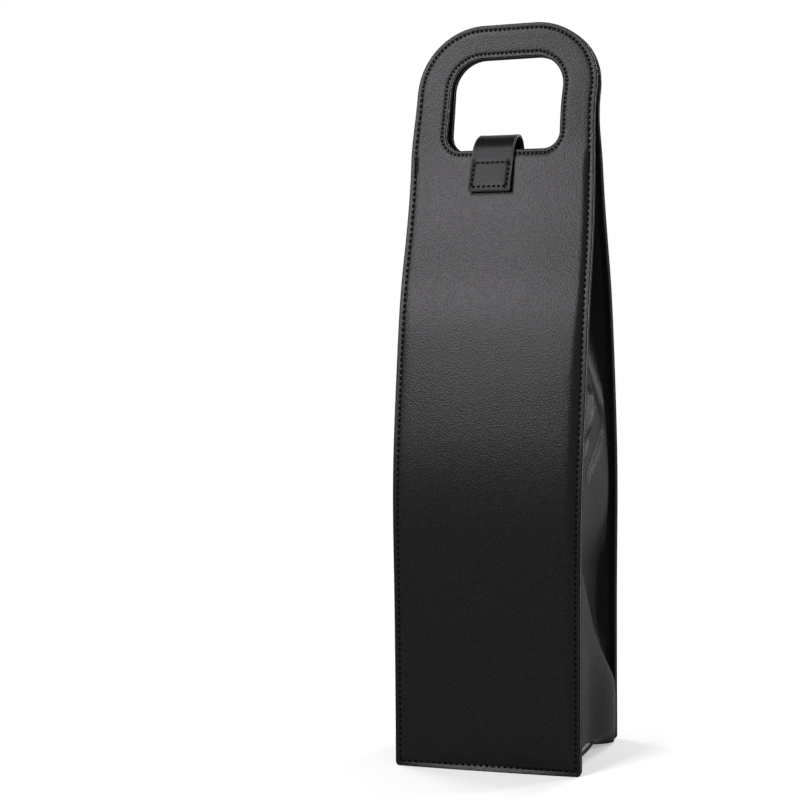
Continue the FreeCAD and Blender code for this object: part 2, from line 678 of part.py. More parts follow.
# Check every object, then write each piece to its own file
doc.recompute()
for item in doc.Objects:
    if "Invalid" in item.State or "Error" in item.State:
        raise RuntimeError("%s failed: %s" % (item.Name, item.State))
os.makedirs("parts", exist_ok=True)
for part in sub_parts:
    if part.Shape.isNull() or not part.Shape.isValid():
        raise RuntimeError("%s has no valid shape" % part.Label)
for part in sub_parts:
    part.Shape.exportStep("parts/%s.step" % part.Label)
    print("%-24s %2d solids %10.1f mm3" % (part.Label, len(part.Shape.Solids), part.Shape.Volume))
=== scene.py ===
import bmesh
import bpy
import math
import numpy as np
from mathutils import Matrix, Vector
from mathutils.geometry import delaunay_2d_cdt


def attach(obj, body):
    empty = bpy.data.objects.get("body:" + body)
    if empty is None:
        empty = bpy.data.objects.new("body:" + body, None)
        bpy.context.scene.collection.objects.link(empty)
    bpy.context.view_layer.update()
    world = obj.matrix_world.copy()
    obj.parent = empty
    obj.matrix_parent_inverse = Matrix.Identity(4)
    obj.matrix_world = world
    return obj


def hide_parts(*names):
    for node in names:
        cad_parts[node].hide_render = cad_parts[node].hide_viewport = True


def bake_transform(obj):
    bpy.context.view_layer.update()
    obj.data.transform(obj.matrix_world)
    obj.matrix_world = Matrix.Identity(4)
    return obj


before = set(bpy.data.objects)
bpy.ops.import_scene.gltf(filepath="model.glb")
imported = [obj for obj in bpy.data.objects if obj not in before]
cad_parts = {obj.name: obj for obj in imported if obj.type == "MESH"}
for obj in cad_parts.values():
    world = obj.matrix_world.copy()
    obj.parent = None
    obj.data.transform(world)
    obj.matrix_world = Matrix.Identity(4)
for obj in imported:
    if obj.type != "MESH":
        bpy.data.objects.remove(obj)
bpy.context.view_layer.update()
scene = bpy.context.scene
mm = 0.001  # lengths are in millimetres; flat sizes of sheets, lamp sizes and the floor are in metres
print("frame loaded")

# camera
shot = {
    "place": (236.3, -926.2, 223.5), "yaw": 0.3073, "pitch": -0.0444, "roll": -0.008, "near": 10.0,
    "focalPixels": 1875.0, "framePixels": 800.0, "sensor": 36.0,
}


def makeCamera():
    yaw, pitch, roll = shot["yaw"], shot["pitch"], shot["roll"]
    forward = Vector((-math.sin(yaw) * math.cos(pitch), math.cos(yaw) * math.cos(pitch), math.sin(pitch)))
    right = Vector((math.cos(yaw), math.sin(yaw), 0))
    up = right.cross(forward)
    turnedRight = right * math.cos(roll) + up * math.sin(roll)
    turnedUp = up * math.cos(roll) - right * math.sin(roll)
    data = bpy.data.cameras.new("camera")
    data.sensor_width = shot["sensor"]
    data.lens = shot["focalPixels"] * shot["sensor"] / shot["framePixels"]
    data.clip_start = shot["near"] * mm
    camera = bpy.data.objects.new("camera", data)
    place = Matrix((turnedRight, turnedUp, -forward)).transposed().to_4x4()
    place.translation = Vector(shot["place"]) * mm
    camera.matrix_world = place
    scene.collection.objects.link(camera)
    scene.camera = camera


makeCamera()
print("camera placed")


# sets a node's inputs: a socket is linked, anything else is a plain value
def feed(tree, node, inputs):
    for key, value in inputs.items():
        socket = node.inputs[key]
        if isinstance(value, bpy.types.NodeSocket):
            tree.links.new(value, socket)
        else:
            socket.default_value = (*value, 1) if socket.type == "RGBA" else value


def addNode(tree, kind, place, inputs=None, **values):
    node = tree.nodes.new(kind)
    node.location = place
    for key, value in values.items():
        setattr(node, key, value)
    feed(tree, node, inputs or {})
    return node


def mathNode(tree, place, operation, *values):
    return addNode(tree, "ShaderNodeMath", place, dict(enumerate(values)), operation=operation).outputs[0]


def vectorNode(tree, place, operation, inputs):
    return addNode(tree, "ShaderNodeVectorMath", place, inputs, operation=operation).outputs


def objectSpot(tree, place):
    return addNode(tree, "ShaderNodeTexCoord", place).outputs["Object"]


def noiseNode(tree, place, spot, scale, detail=2.0, rough=0.5):
    inputs = {"Vector": spot, "Scale": scale, "Detail": detail, "Roughness": rough}
    return addNode(tree, "ShaderNodeTexNoise", place, inputs).outputs


def rampNode(tree, place, value, *stops):
    node = addNode(tree, "ShaderNodeValToRGB", place, {0: value})
    for spot, (position, level) in zip(node.color_ramp.elements, stops):
        spot.position = position
        spot.color = (level, level, level, 1)
    return node.outputs[0]


def rangeNode(tree, place, value, low, high):
    inputs = {"Value": value, "To Min": low, "To Max": high}
    return addNode(tree, "ShaderNodeMapRange", place, inputs).outputs["Result"]


def blendColours(tree, place, factor, first, second):
    inputs = {0: factor, 6: first, 7: second}
    return addNode(tree, "ShaderNodeMix", place, inputs, data_type="RGBA").outputs[2]


def bumpNode(tree, place, height, strength, depth):
    inputs = {"Height": height, "Strength": strength, "Distance": depth * mm}
    return addNode(tree, "ShaderNodeBump", place, inputs).outputs["Normal"]


def groupNode(tree, place, group, inputs):
    return addNode(tree, "ShaderNodeGroup", place, inputs, node_tree=group).outputs


# a group of nodes that materials use
def newGroup(name, inputs, outputs):
    tree = bpy.data.node_groups.new(name, "ShaderNodeTree")
    for label, kind, value in inputs:
        socket = tree.interface.new_socket(label, in_out="INPUT", socket_type=kind)
        socket.default_value = value
    for label in outputs:
        tree.interface.new_socket(label, in_out="OUTPUT", socket_type="NodeSocketFloat")
    start = addNode(tree, "NodeGroupInput", (-900, 0))
    end = addNode(tree, "NodeGroupOutput", (700, 0))
    return tree, start.outputs, end


# pebbles of leather: a height for bump and colour, a slow tone for the gloss; scales are per metre
grain = {
    "waverScale": 420.0, "waver": 0.4, "smooth": 0.35, "crown": 0.12, "rim": 0.62,
    "poreScale": 2600.0, "poreDetail": 3.0, "poreShare": 0.35,
    "toneScale": 26.0, "toneDetail": 4.0, "toneRough": 0.6,
}


def leatherGrain():
    tree, start, end = newGroup(
        "leatherGrain",
        [("Cells", "NodeSocketFloat", 1100.0), ("Stretch", "NodeSocketVector", (1.0, 1.0, 1.0))],
        ["Height", "Tone"])
    spot = objectSpot(tree, (-900, -300))
    stretched = vectorNode(tree, (-700, -200), "MULTIPLY", {0: spot, 1: start["Stretch"]})[0]
    waver = noiseNode(tree, (-700, -450), stretched, grain["waverScale"])
    shift = vectorNode(tree, (-520, -450), "SCALE", {0: waver["Color"], "Scale": grain["waver"] * mm})[0]
    moved = vectorNode(tree, (-360, -250), "ADD", {0: stretched, 1: shift})[0]
    inputs = {"Vector": moved, "Scale": start["Cells"], "Smoothness": grain["smooth"]}
    pebbles = addNode(tree, "ShaderNodeTexVoronoi", (-180, -200), inputs, feature="SMOOTH_F1")
    dome = rampNode(tree, (0, -200), pebbles.outputs["Distance"], (grain["crown"], 1.0), (grain["rim"], 0.0))
    pores = noiseNode(tree, (-180, -500), moved, grain["poreScale"], grain["poreDetail"])
    poreHeight = mathNode(tree, (0, -480), "MULTIPLY", pores["Fac"], grain["poreShare"])
    tone = noiseNode(tree, (-180, 150), spot, grain["toneScale"], grain["toneDetail"], grain["toneRough"])
    feed(tree, end, {"Height": mathNode(tree, (280, -250), "ADD", dome, poreHeight), "Tone": tone["Fac"]})
    return tree


# worn edges and painted highlight: the rims take a lighter colour that is partly wear and partly stands in
# for rounded edges catching light; the mesh gives how near an edge a point is, and noise breaks it up
wearAndHighlightBreakup = {"scale": 160.0, "detail": 4.0, "low": (0.3, 0.45), "high": (0.7, 1.0)}


def edgeWearAndHighlight():
    tree, start, end = newGroup("edgeWearAndHighlight", [("Amount", "NodeSocketFloat", 1.0)], ["Mask"])
    near = addNode(tree, "ShaderNodeAttribute", (-700, 0), attribute_name="rim").outputs["Fac"]
    spot = objectSpot(tree, (-900, -250))
    breaks = noiseNode(tree, (-700, -250), spot, wearAndHighlightBreakup["scale"], wearAndHighlightBreakup["detail"])
    patches = rampNode(tree, (-480, -250), breaks["Fac"], wearAndHighlightBreakup["low"], wearAndHighlightBreakup["high"])
    worn = mathNode(tree, (-200, 0), "MULTIPLY", near, patches)
    feed(tree, end, {"Mask": mathNode(tree, (0, 0), "MULTIPLY", worn, start["Amount"])})
    return tree


# plies of a sewing thread, from the twist that the mesh carries
threadLook = {
    "dark": (0.001, 0.001, 0.001), "light": (0.004, 0.004, 0.004), "rough": (0.75, 0.95), "bump": (0.4, 0.06),
    "shine": 0.02, "depth": 1.0, "fuzzScale": 5200.0,
}


def threadTwist():
    tree, start, end = newGroup("threadTwist", [("Depth", "NodeSocketFloat", 1.0)], ["Height", "Fuzz"])
    twist = addNode(tree, "ShaderNodeAttribute", (-700, 0), attribute_name="twist").outputs["Fac"]
    wave = mathNode(tree, (-480, 0), "SINE", twist)
    fuzz = noiseNode(tree, (-480, -250), objectSpot(tree, (-700, -250)), threadLook["fuzzScale"])
    height = mathNode(tree, (-280, 0), "MULTIPLY", wave, start["Depth"])
    feed(tree, end, {"Height": height, "Fuzz": fuzz["Fac"]})
    return tree


grainGroup = leatherGrain()
edgeWearAndHighlightGroup = edgeWearAndHighlight()
twistGroup = threadTwist()


def newMaterial(name):
    material = bpy.data.materials.new(name)
    material.use_nodes = True
    tree = material.node_tree
    shader = tree.nodes["Principled BSDF"]
    shader.location = (500, 0)
    tree.nodes["Material Output"].location = (800, 0)
    return material, tree, shader


sheen = (1.0, 0.95, 1.0)  # the leather's gloss has a faint mauve cast
cutMatt = 0.7  # how much rougher a cut edge is


def leatherMaterial(name, look):
    material, tree, shader = newMaterial(name)
    pebbles = groupNode(tree, (-700, 0), grainGroup, {"Cells": look["cells"], "Stretch": look["stretch"]})
    # the rims take a lighter colour: wear, and a painted highlight along the edges
    wearAndHighlight = groupNode(tree, (-700, -300), edgeWearAndHighlightGroup, {"Amount": look["wearAndHighlight"]})["Mask"]
    plain = blendColours(tree, (-400, 200), pebbles["Height"], look["dark"], look["light"])
    rough = rangeNode(tree, (-400, -50), pebbles["Tone"], *look["rough"])
    polish = mathNode(tree, (-400, -250), "MULTIPLY", pebbles["Height"], look["polish"])
    worn = mathNode(tree, (-150, -100), "SUBTRACT", rough, polish)
    matt = mathNode(tree, (-150, -250), "MULTIPLY", wearAndHighlight, cutMatt)
    feed(tree, shader, {
        "Base Color": blendColours(tree, (-150, 200), wearAndHighlight, plain, look["wornEdgeAndHighlight"]),
        "Roughness": mathNode(tree, (50, -100), "ADD", worn, matt),
        "Specular IOR Level": look["shine"],
        "Specular Tint": sheen,
        "Normal": bumpNode(tree, (150, -300), pebbles["Height"], *look["bump"]),
    })
    return material


# cells per metre, bump as strength and depth, rough from low to high; the rims' lighter edge colour is partly
# wear and partly a painted highlight
panelLook = {
    "cells": 1250.0, "stretch": (1.0, 1.0, 1.0), "wearAndHighlight": 0.6, "shine": 0.119, "bump": (0.34, 0.16),
    "dark": (0.0004, 0.0004, 0.0005), "light": (0.0054, 0.0054, 0.0056), "wornEdgeAndHighlight": (0.1, 0.1, 0.102),
    "rough": (0.365, 0.39), "polish": 0.05,
}
gussetLook = {
    "cells": 1050.0, "stretch": (1.0, 1.0, 0.8), "wearAndHighlight": 0.3, "shine": 0.0065, "bump": (0.35, 0.18),
    "dark": (0.0072, 0.0072, 0.0075), "light": (0.0115, 0.0115, 0.012), "wornEdgeAndHighlight": (0.03, 0.03, 0.031),
    "rough": (0.3, 0.36), "polish": 0.06,
}
strapLook = {
    "cells": 1300.0, "stretch": (1.0, 1.0, 1.0), "wearAndHighlight": 0.6, "shine": 0.075, "bump": (0.3, 0.12),
    "dark": (0.0006, 0.0006, 0.0007), "light": (0.0038, 0.0038, 0.004), "wornEdgeAndHighlight": (0.1, 0.1, 0.102),
    "rough": (0.35, 0.39), "polish": 0.05,
}
liningLook = {
    "cells": 2300.0, "stretch": (1.0, 1.0, 1.0), "wearAndHighlight": 0.2, "shine": 0.05, "bump": (0.35, 0.1),
    "dark": (0.006, 0.006, 0.0065), "light": (0.01, 0.01, 0.0105), "wornEdgeAndHighlight": (0.08, 0.08, 0.081),
    "rough": (0.72, 0.84), "polish": 0.05,
}
panelLeather = leatherMaterial("panelLeather", panelLook)
gussetLeather = leatherMaterial("gussetLeather", gussetLook)
strapLeather = leatherMaterial("strapLeather", strapLook)
liningSheet = leatherMaterial("liningSheet", liningLook)


def threadMaterial(name, look):
    material, tree, shader = newMaterial(name)
    plies = groupNode(tree, (-500, 0), twistGroup, {"Depth": look["depth"]})
    feed(tree, shader, {
        "Base Color": blendColours(tree, (-200, 150), plies["Fuzz"], look["dark"], look["light"]),
        "Roughness": rangeNode(tree, (-200, -50), plies["Fuzz"], *look["rough"]),
        "Specular IOR Level": look["shine"],
        "Normal": bumpNode(tree, (150, -250), plies["Height"], *look["bump"]),
    })
    return material


# board and plated steel: a fine noise varies colour and gloss, and raises the board's fibres
boardLook = {
    "scale": 900.0, "detail": 5.0, "dark": (0.004, 0.004, 0.004), "light": (0.014, 0.0135, 0.013),
    "rough": (0.6, 0.8), "metal": 0.0, "bump": (0.3, 0.1),
}
steelLook = {
    "scale": 700.0, "detail": 3.0, "dark": (0.42, 0.42, 0.43), "light": (0.6, 0.6, 0.61),
    "rough": (0.28, 0.42), "metal": 1.0, "bump": None,
}


def fleckedMaterial(name, look):
    material, tree, shader = newMaterial(name)
    flecks = noiseNode(tree, (-700, 0), objectSpot(tree, (-900, 0)), look["scale"], look["detail"])["Fac"]
    feed(tree, shader, {
        "Base Color": blendColours(tree, (-300, 150), flecks, look["dark"], look["light"]),
        "Roughness": rangeNode(tree, (-300, -50), flecks, *look["rough"]),
        "Metallic": look["metal"],
    })
    if look["bump"]:
        feed(tree, shader, {"Normal": bumpNode(tree, (150, -250), flecks, *look["bump"])})
    return material


blackThread = threadMaterial("blackThread", threadLook)
boardFibre = fleckedMaterial("boardFibre", boardLook)
platedSteel = fleckedMaterial("platedSteel", steelLook)
print("materials made")


# meshes: points in millimetres, attributes that the materials read
def makePiece(name, points, faces, material, attributes, closed=True):
    mesh = bpy.data.meshes.new(name)
    mesh.from_pydata((np.asarray(points) * mm).tolist(), [], [[int(i) for i in face] for face in faces])
    for key, values in attributes.items():
        layer = mesh.attributes.new(key, "FLOAT", "POINT")
        layer.data.foreach_set("value", np.asarray(values, np.float32))
    if closed:
        work = bmesh.new()
        work.from_mesh(mesh)
        bmesh.ops.recalc_face_normals(work, faces=work.faces)
        work.to_mesh(mesh)
        work.free()
    mesh.update()
    mesh.shade_smooth()
    mesh.materials.append(material)
    piece = bpy.data.objects.new(name, mesh)
    scene.collection.objects.link(piece)
    return piece


def dress(piece, body, slot, *nodes):
    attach(piece, body)
    if nodes:
        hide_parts(*nodes)


def smoothStep(value):
    value = np.clip(value, 0, 1)
    return value * value * (3 - 2 * value)


def ringFaces(first, second, count):
    return [(first + i, first + (i + 1) % count, second + (i + 1) % count, second + i) for i in range(count)]


# rings of points joined into a tube with closed ends
def tubeFaces(rings, count):
    faces = []
    for ring in range(rings - 1):
        faces += ringFaces(ring * count, (ring + 1) * count, count)
    last = (rings - 1) * count
    return faces + [tuple(range(count))[::-1], tuple(range(last, last + count))]


# a grid of points made into a sheet: two faces, joined round the border
def sheetPiece(name, grid, thick, material, rim):
    count, columns = grid.shape[:2]
    normal = np.cross(np.gradient(grid, axis=1), np.gradient(grid, axis=0))
    normal /= np.linalg.norm(normal, axis=2, keepdims=True)
    points = np.concatenate([(grid + normal * half).reshape(-1, 3) for half in (thick / 2, -thick / 2)])
    size = count * columns
    index = np.arange(size).reshape(count, columns)
    faces = []
    for a in index[:-1, :-1].reshape(-1):
        faces.append((a, a + 1, a + columns + 1, a + columns))
        faces.append((size + a, size + a + columns, size + a + columns + 1, size + a + 1))
    border = np.concatenate([index[0, :-1], index[:-1, -1], index[-1, :0:-1], index[:0:-1, 0]])
    for a, b in zip(border, np.roll(border, -1)):
        faces.append((a, size + a, size + b, b))
    return makePiece(name, points, faces, material, {"rim": np.tile(rim.reshape(-1), 2)})


# the panels' outline and side profile: the frame's, but for tighter foot corners
panel = {
    "width": 96.0, "height": 370.0, "cornerRadius": 35.0, "footRadius": 2.0,
    "halfDepth": 44.0, "handleHalfDepth": 4.0, "shoulderHeight": 147.0, "shoulderRadius": 190.0,
    "lean": 18.0, "neckRadius": 330.0, "skin": 1.0, "board": 1.6, "lining": 1.0,
}
hole = {"width": 60.0, "bottom": 307.0, "height": 46.3, "topRadius": 16.5, "bottomRadius": 8.5}
panelThick = panel["skin"] + panel["board"] + panel["lining"]
lean = math.radians(panel["lean"])


def panelDepth(height, offset=0.0):
    z, offset = np.broadcast_arrays(np.asarray(height, float), np.asarray(offset, float))
    bends = panel["shoulderRadius"] + panel["neckRadius"]
    fall = panel["halfDepth"] - panel["handleHalfDepth"] - bends * (1 - math.cos(lean))
    neckEnd = panel["shoulderHeight"] + bends * math.sin(lean) + fall / math.tan(lean)
    shoulder, neck = panel["shoulderRadius"] - offset, panel["neckRadius"] + offset
    wall, handle = panel["halfDepth"] - offset, panel["handleHalfDepth"] - offset
    shoulderEnd = panel["shoulderHeight"] + shoulder * math.sin(lean)
    neckStart = neckEnd - neck * math.sin(lean)
    low = np.clip((z - panel["shoulderHeight"]) / shoulder, 0, math.sin(lean))
    high = np.clip((neckEnd - z) / neck, 0, math.sin(lean))
    onShoulder = wall - shoulder * (1 - np.sqrt(1 - low * low))
    onLean = wall - shoulder * (1 - math.cos(lean)) - (z - shoulderEnd) * math.tan(lean)
    onNeck = handle + neck * (1 - np.sqrt(1 - high * high))
    return np.where(z <= shoulderEnd, onShoulder, np.where(z <= neckStart, onLean, onNeck))


# how the soft panels really lean: each bend begins at a height, runs on and turns by some degrees
sag = {
    "bends": ((102.0, 74.0, 10.1), (210.0, 42.0, 9.0), (239.0, 92.0, -15.3), (345.0, 25.0, -3.8)),
    "spare": 10.0, "kick": 1.2, "kickHeight": 2.1, "normalReach": 0.5,
}


def softProfile():
    levels = np.arange(0.0, panel["height"] + sag["spare"])
    leans = sum(turn * smoothStep((levels - start) / run) for start, run, turn in sag["bends"])
    slopes = np.tan(np.radians(leans))
    return levels, panel["halfDepth"] - np.concatenate([[0.0], np.cumsum((slopes[1:] + slopes[:-1]) / 2)])


sagLevels, sagDepths = softProfile()


def softDepth(z, offset=0.0):
    return panelDepth(z, offset) - panelDepth(z) + np.interp(z, sagLevels, sagDepths)


# the handle leans to the right, more on its left, and the panels flare a little towards the shoulder
twist = {
    "left": 3.0, "leftFrom": 302.0, "leftRun": 40.0, "right": 2.6, "rightFrom": 328.0, "rightRun": 36.0,
    "pinch": -1.2, "pinchAt": 322.0, "pinchReach": 16.0, "draw": -0.9, "drawTo": 296.0, "drawRun": 30.0,
    "lift": 0.8, "liftFrom": 325.0, "liftRun": 40.0, "foot": -0.5,
    "flare": 1.3, "flareFrom": 60.0, "flareRun": 140.0, "ease": -0.8, "easeFrom": 240.0, "easeRun": 60.0,
}


def grow(key, z):
    return twist[key] * smoothStep((z - twist[key + "From"]) / twist[key + "Run"])


def twistPanel(x, z, turned):
    share = x / panel["width"] + 0.5
    right = grow("right", z) + twist["pinch"] * np.exp(-((z - twist["pinchAt"]) / twist["pinchReach"]) ** 2)
    if not turned:
        right = right + twist["draw"] * (1 - smoothStep((z - twist["drawTo"]) / twist["drawRun"]))
    flare = twist["foot"] + grow("flare", z) + grow("ease", z)
    moved = x + grow("left", z) * (1 - share) + right * share + flare * (2 * share - 1)
    return moved, z + grow("lift", z) * (2 * share - 1)


# how far a panel's edge stands out from its plain place, on the left or the right of the bag
def edgeShift(side, z, turned):
    half = panel["width"] / 2
    return side * float(twistPanel(side * half, z, turned)[0]) - half


# place of a panel point from its spot on the outline plane and its depth below the outer face;
# the foot's edge is turned out
def panelPoint(x, z, offset, turned):
    side = -1.0 if turned else 1.0
    across, height = twistPanel(side * x, z, turned)
    low = np.clip(1 - z / sag["kickHeight"], 0, 1)
    kick = sag["kick"] * low * np.sqrt(np.cos(math.pi * np.clip(x / panel["width"], -0.5, 0.5)))
    return np.stack([across, -side * (softDepth(z, offset) + kick), height], -1)


def panelNormal(z, turned):
    reach = sag["normalReach"]
    slope = np.arctan((softDepth(z - reach) - softDepth(z + reach)) / (2 * reach))
    side = -1.0 if turned else 1.0
    return np.stack([np.zeros_like(slope), -side * np.cos(slope), np.sin(slope)], -1)


# rounded rectangles: half width, bottom, top, lower and upper corner radius
def outlineSizes(inset):
    return (panel["width"] / 2 - inset, inset, panel["height"] - inset,
            panel["footRadius"] - inset, panel["cornerRadius"] - inset)


def holeSizes(outset):
    return (hole["width"] / 2 + outset, hole["bottom"] - outset, hole["bottom"] + hole["height"] + outset,
            hole["bottomRadius"] + outset, hole["topRadius"] + outset)


def insideDistance(x, z, sizes):
    halfWidth, bottom, top, bottomRadius, topRadius = sizes
    upper = z > (bottom + top) / 2
    radius = np.where(upper, topRadius, bottomRadius)
    across = np.abs(x) - (halfWidth - radius)
    along = np.where(upper, z - (top - radius), (bottom + radius) - z)
    beyond = np.hypot(np.maximum(across, 0), np.maximum(along, 0))
    return radius - beyond - np.minimum(np.maximum(across, along), 0)


# a ring is eight runs: foot, corner, side, corner, top, corner, side, corner
leastRadius = 0.05


def ringRuns(sizes):
    w, bottom, top = sizes[:3]
    rb, rt = (max(radius, leastRadius) for radius in sizes[3:])
    quarter = math.pi / 2
    return [((-w + rb, bottom), (w - rb, bottom)), ((w - rb, bottom + rb), rb, -quarter),
            ((w, bottom + rb), (w, top - rt)), ((w - rt, top - rt), rt, 0.0),
            ((w - rt, top), (-w + rt, top)), ((-w + rt, top - rt), rt, quarter),
            ((-w, top - rt), (-w, bottom + rb)), ((-w + rb, bottom + rb), rb, 2 * quarter)]


def runLength(run):
    return math.dist(*run) if len(run) == 2 else run[1] * math.pi / 2


# a station is a run and a share of its length
def ringPoints(sizes, stations):
    points = np.zeros((len(stations), 2))
    for k, run in enumerate(ringRuns(sizes)):
        mine = stations[:, 0] == k
        share = stations[mine, 1]
        if len(run) == 2:
            first, last = np.array(run[0]), np.array(run[1])
            points[mine] = first + (last - first) * share[:, None]
        else:
            angle = run[2] + share * math.pi / 2
            points[mine] = np.array(run[0]) + run[1] * np.stack([np.cos(angle), np.sin(angle)], -1)
    return points


# stitches along a ring: counts from the pitch of each run, and the stations between them
def stitchStations(sizes, pitches, perStitch):
    counts = [max(1, round(runLength(run) / pitch)) for run, pitch in zip(ringRuns(sizes), pitches)]
    stations, phases = [], []
    for k, count in enumerate(counts):
        for i in range(count * perStitch):
            stations.append((k, i / (count * perStitch)))
            phases.append((i % perStitch) / perStitch)
    return counts, np.array(stations), np.array(phases)


seam = {
    "inset": 2.6, "holeInset": 2.2, "perStitch": 4, "width": 0.5, "deep": 0.28, "shallow": 0.05,
    "edgePitches": (3.1, 2.1, 3.0, 2.3, 2.3, 2.3, 3.0, 2.1),
    "holePitches": (2.2, 2.1, 2.2, 2.1, 2.2, 2.1, 2.2, 2.1),
}
swell = {
    "pillow": 1.9, "pillowLeft": 0.4, "pillowFrom": 2.8, "pillowRun": 5.5, "rimRun": 1.5,
    "highFrom": 185.0, "highRun": 60.0, "highRise": 0.5, "highNarrow": 0.5, "top": 296.0, "topRun": 14.0,
    "handle": 0.12, "wave": 0.1, "waveFrom": 6.0, "waveRun": 26.0, "thirdWave": 0.6,
    "waveSpans": ((19.0, 31.0), (47.0, 23.0), (37.0, 17.0)),
}
edgeCounts, edgeStations, edgePhases = stitchStations(
    outlineSizes(seam["inset"]), seam["edgePitches"], seam["perStitch"])
holeCounts, holeStations, holePhases = stitchStations(
    holeSizes(seam["holeInset"]), seam["holePitches"], seam["perStitch"])


def slowWaves(x, z):
    (z1, x1), (z2, x2), (z3, x3) = swell["waveSpans"]
    crossed = np.sin(z / z1 + x / x1) * np.sin(x / x2 - z / z2)
    return crossed + swell["thirdWave"] * np.sin(z / z3 - x / x3 + 1)


# the face stands a little proud of its seams, less on the handle
def bodySwell(x, z):
    fromEdge = insideDistance(x, z, outlineSizes(0))
    fromHole = seam["inset"] - seam["holeInset"] - insideDistance(x, z, holeSizes(0))
    near = np.minimum(fromEdge, fromHole)
    below = 1 - smoothStep((z - swell["top"]) / swell["topRun"])
    wider = swell["pillow"] - swell["pillowLeft"]
    pillow = swell["pillowLeft"] + wider * smoothStep(x / panel["width"] + 0.5)
    high = smoothStep((z - swell["highFrom"]) / swell["highRun"])
    pillow = pillow * (1 + (swell["highRise"] - 1) * high)
    run = swell["pillowRun"] * (1 + (swell["highNarrow"] - 1) * high)
    rise = swell["handle"] + (pillow - swell["handle"]) * below
    short = 1 - np.clip((near - swell["pillowFrom"]) / run, 0, 1)
    inner = smoothStep((near - swell["waveFrom"]) / swell["waveRun"])
    return rise * (1 - short ** 2) + swell["wave"] * slowWaves(x, z) * inner


def groove(distance, middle, phase):
    depth = seam["shallow"] + (seam["deep"] - seam["shallow"]) * np.abs(np.sin(phase * math.pi))
    return depth * np.exp(-((distance - middle) / seam["width"]) ** 2)


# how a face is filled with points: a grid, and two rings beside each seam with ever fewer stations
filling = {"rings": ((0.8, 2), (1.9, 4)), "ringRoom": 1.2, "gridRoomShare": 0.8, "slack": 1e-4, "merge": 1e-6}
# how much of the worn edge colour and painted edge highlight each rim ring takes
rimWearAndHighlight = {"rise": 0.3, "fallFrom": 0.5, "fall": 0.45}  # shares of a layer's thickness


def onPanel(x, z, edgeInset, holeInset, room):
    return ((insideDistance(x, z, outlineSizes(edgeInset)) > room)
            & (insideDistance(x, z, holeSizes(holeInset)) < -room))


def panelGrid(step, start):
    across = np.arange(start - panel["width"] / 2, panel["width"] / 2, step)
    return np.stack(np.meshgrid(across, np.arange(start, panel["height"], step)), -1).reshape(-1, 2)


# triangles over the loops and the free points, where they lie on the panel
def triangles(loops, free, insets):
    points, edges = [], []
    for loop in loops:
        first = len(points)
        points += [tuple(p) for p in loop]
        edges += [(first + i, first + (i + 1) % len(loop)) for i in range(len(loop))]
    points += [tuple(p) for p in free]
    made = delaunay_2d_cdt([Vector(p) for p in points], edges, [], 0, filling["merge"])
    source = [ids[0] for ids in made[3]]
    spots = np.array(points)
    faces = [[source[i] for i in face] for face in made[2]]
    return [face for face in faces if onPanel(*spots[face].mean(0), *insets, -filling["slack"])]


# one layer of a panel: rounded rims round the outline and the hand hole, a stitched face and a plain back
def panelLayer(name, turned, layer, material):
    face, back, sign = layer["face"], layer["back"], layer["sign"]
    points, faces, rims = [], [], []

    def add(spots, depth, rim):
        first = sum(len(p) for p in points)
        points.append(panelPoint(spots[:, 0], spots[:, 1], depth, turned))
        rims.append(np.full(len(spots), float(rim)))
        return first

    def fill(loops, starts, free, depth, insets):
        first = add(free, depth, 0)
        index = [np.arange(s, s + len(loop)) for s, loop in zip((*starts, first), (*loops, free))]
        index = np.concatenate(index)
        faces.extend([index[i] for i in triangle] for triangle in triangles(loops, free, insets))

    kinds = ((outlineSizes, edgeStations, edgePhases, seam["inset"]),
             (holeSizes, holeStations, holePhases, seam["holeInset"]))
    backs, fronts, insets = [], [], []
    for sizesOf, stations, phases, middle in kinds:
        loops, starts = [], []
        for inset, share in layer["rim"]:
            # rim rings take the worn edge colour, which also paints a highlight along the panel's edges
            fade = smoothStep((share - rimWearAndHighlight["fallFrom"]) / rimWearAndHighlight["fall"])
            wearAndHighlight = smoothStep(share / rimWearAndHighlight["rise"]) * (1 - fade)
            loops.append(ringPoints(sizesOf(inset), stations))
            starts.append(add(loops[-1], back + (face - back) * share, wearAndHighlight))
        for step in layer["faceSteps"]:
            inset = middle + step
            spots = ringPoints(sizesOf(inset), stations)
            rise = bodySwell(spots[:, 0], spots[:, 1]) * smoothStep(inset / swell["rimRun"])
            drop = groove(inset, middle, phases) * layer["grooveShare"] - rise * layer["swellShare"]
            loops.append(spots)
            starts.append(add(spots, face + sign * drop, 0))
        for first, second in zip(starts, starts[1:]):
            faces.extend(ringFaces(first, second, len(stations)))
        backs.append((loops[0], starts[0]))
        fronts.append((loops[-1], starts[-1]))
        insets.append(inset)

    # the open face inside the rings
    grid = panelGrid(layer["step"], 0)
    free = [grid[onPanel(grid[:, 0], grid[:, 1], *insets, layer["step"] * filling["gridRoomShare"])]]
    for own, other, way in ((0, 1, -1), (1, 0, 1)):
        limit = kinds[other][0](insets[other])
        sizesOf, stations = kinds[own][:2]
        for more, thin in filling["rings"]:
            ring = ringPoints(sizesOf(insets[own] + more), stations[::thin])
            room = way * insideDistance(ring[:, 0], ring[:, 1], limit)
            free.append(ring[room > filling["ringRoom"]])
    free = np.concatenate(free)
    rise = bodySwell(free[:, 0], free[:, 1]) * layer["swellShare"]
    fill(*zip(*fronts), free, face - sign * rise, insets)

    # the hidden back of the layer
    room = layer["backStep"] / 2
    grid = panelGrid(layer["backStep"], room)
    plain = grid[onPanel(grid[:, 0], grid[:, 1], 0, 0, room)]
    fill(*zip(*backs), plain, back, [layer["rim"][0][0]] * 2)
    return makePiece(name, np.concatenate(points), faces, material, {"rim": np.concatenate(rims)})


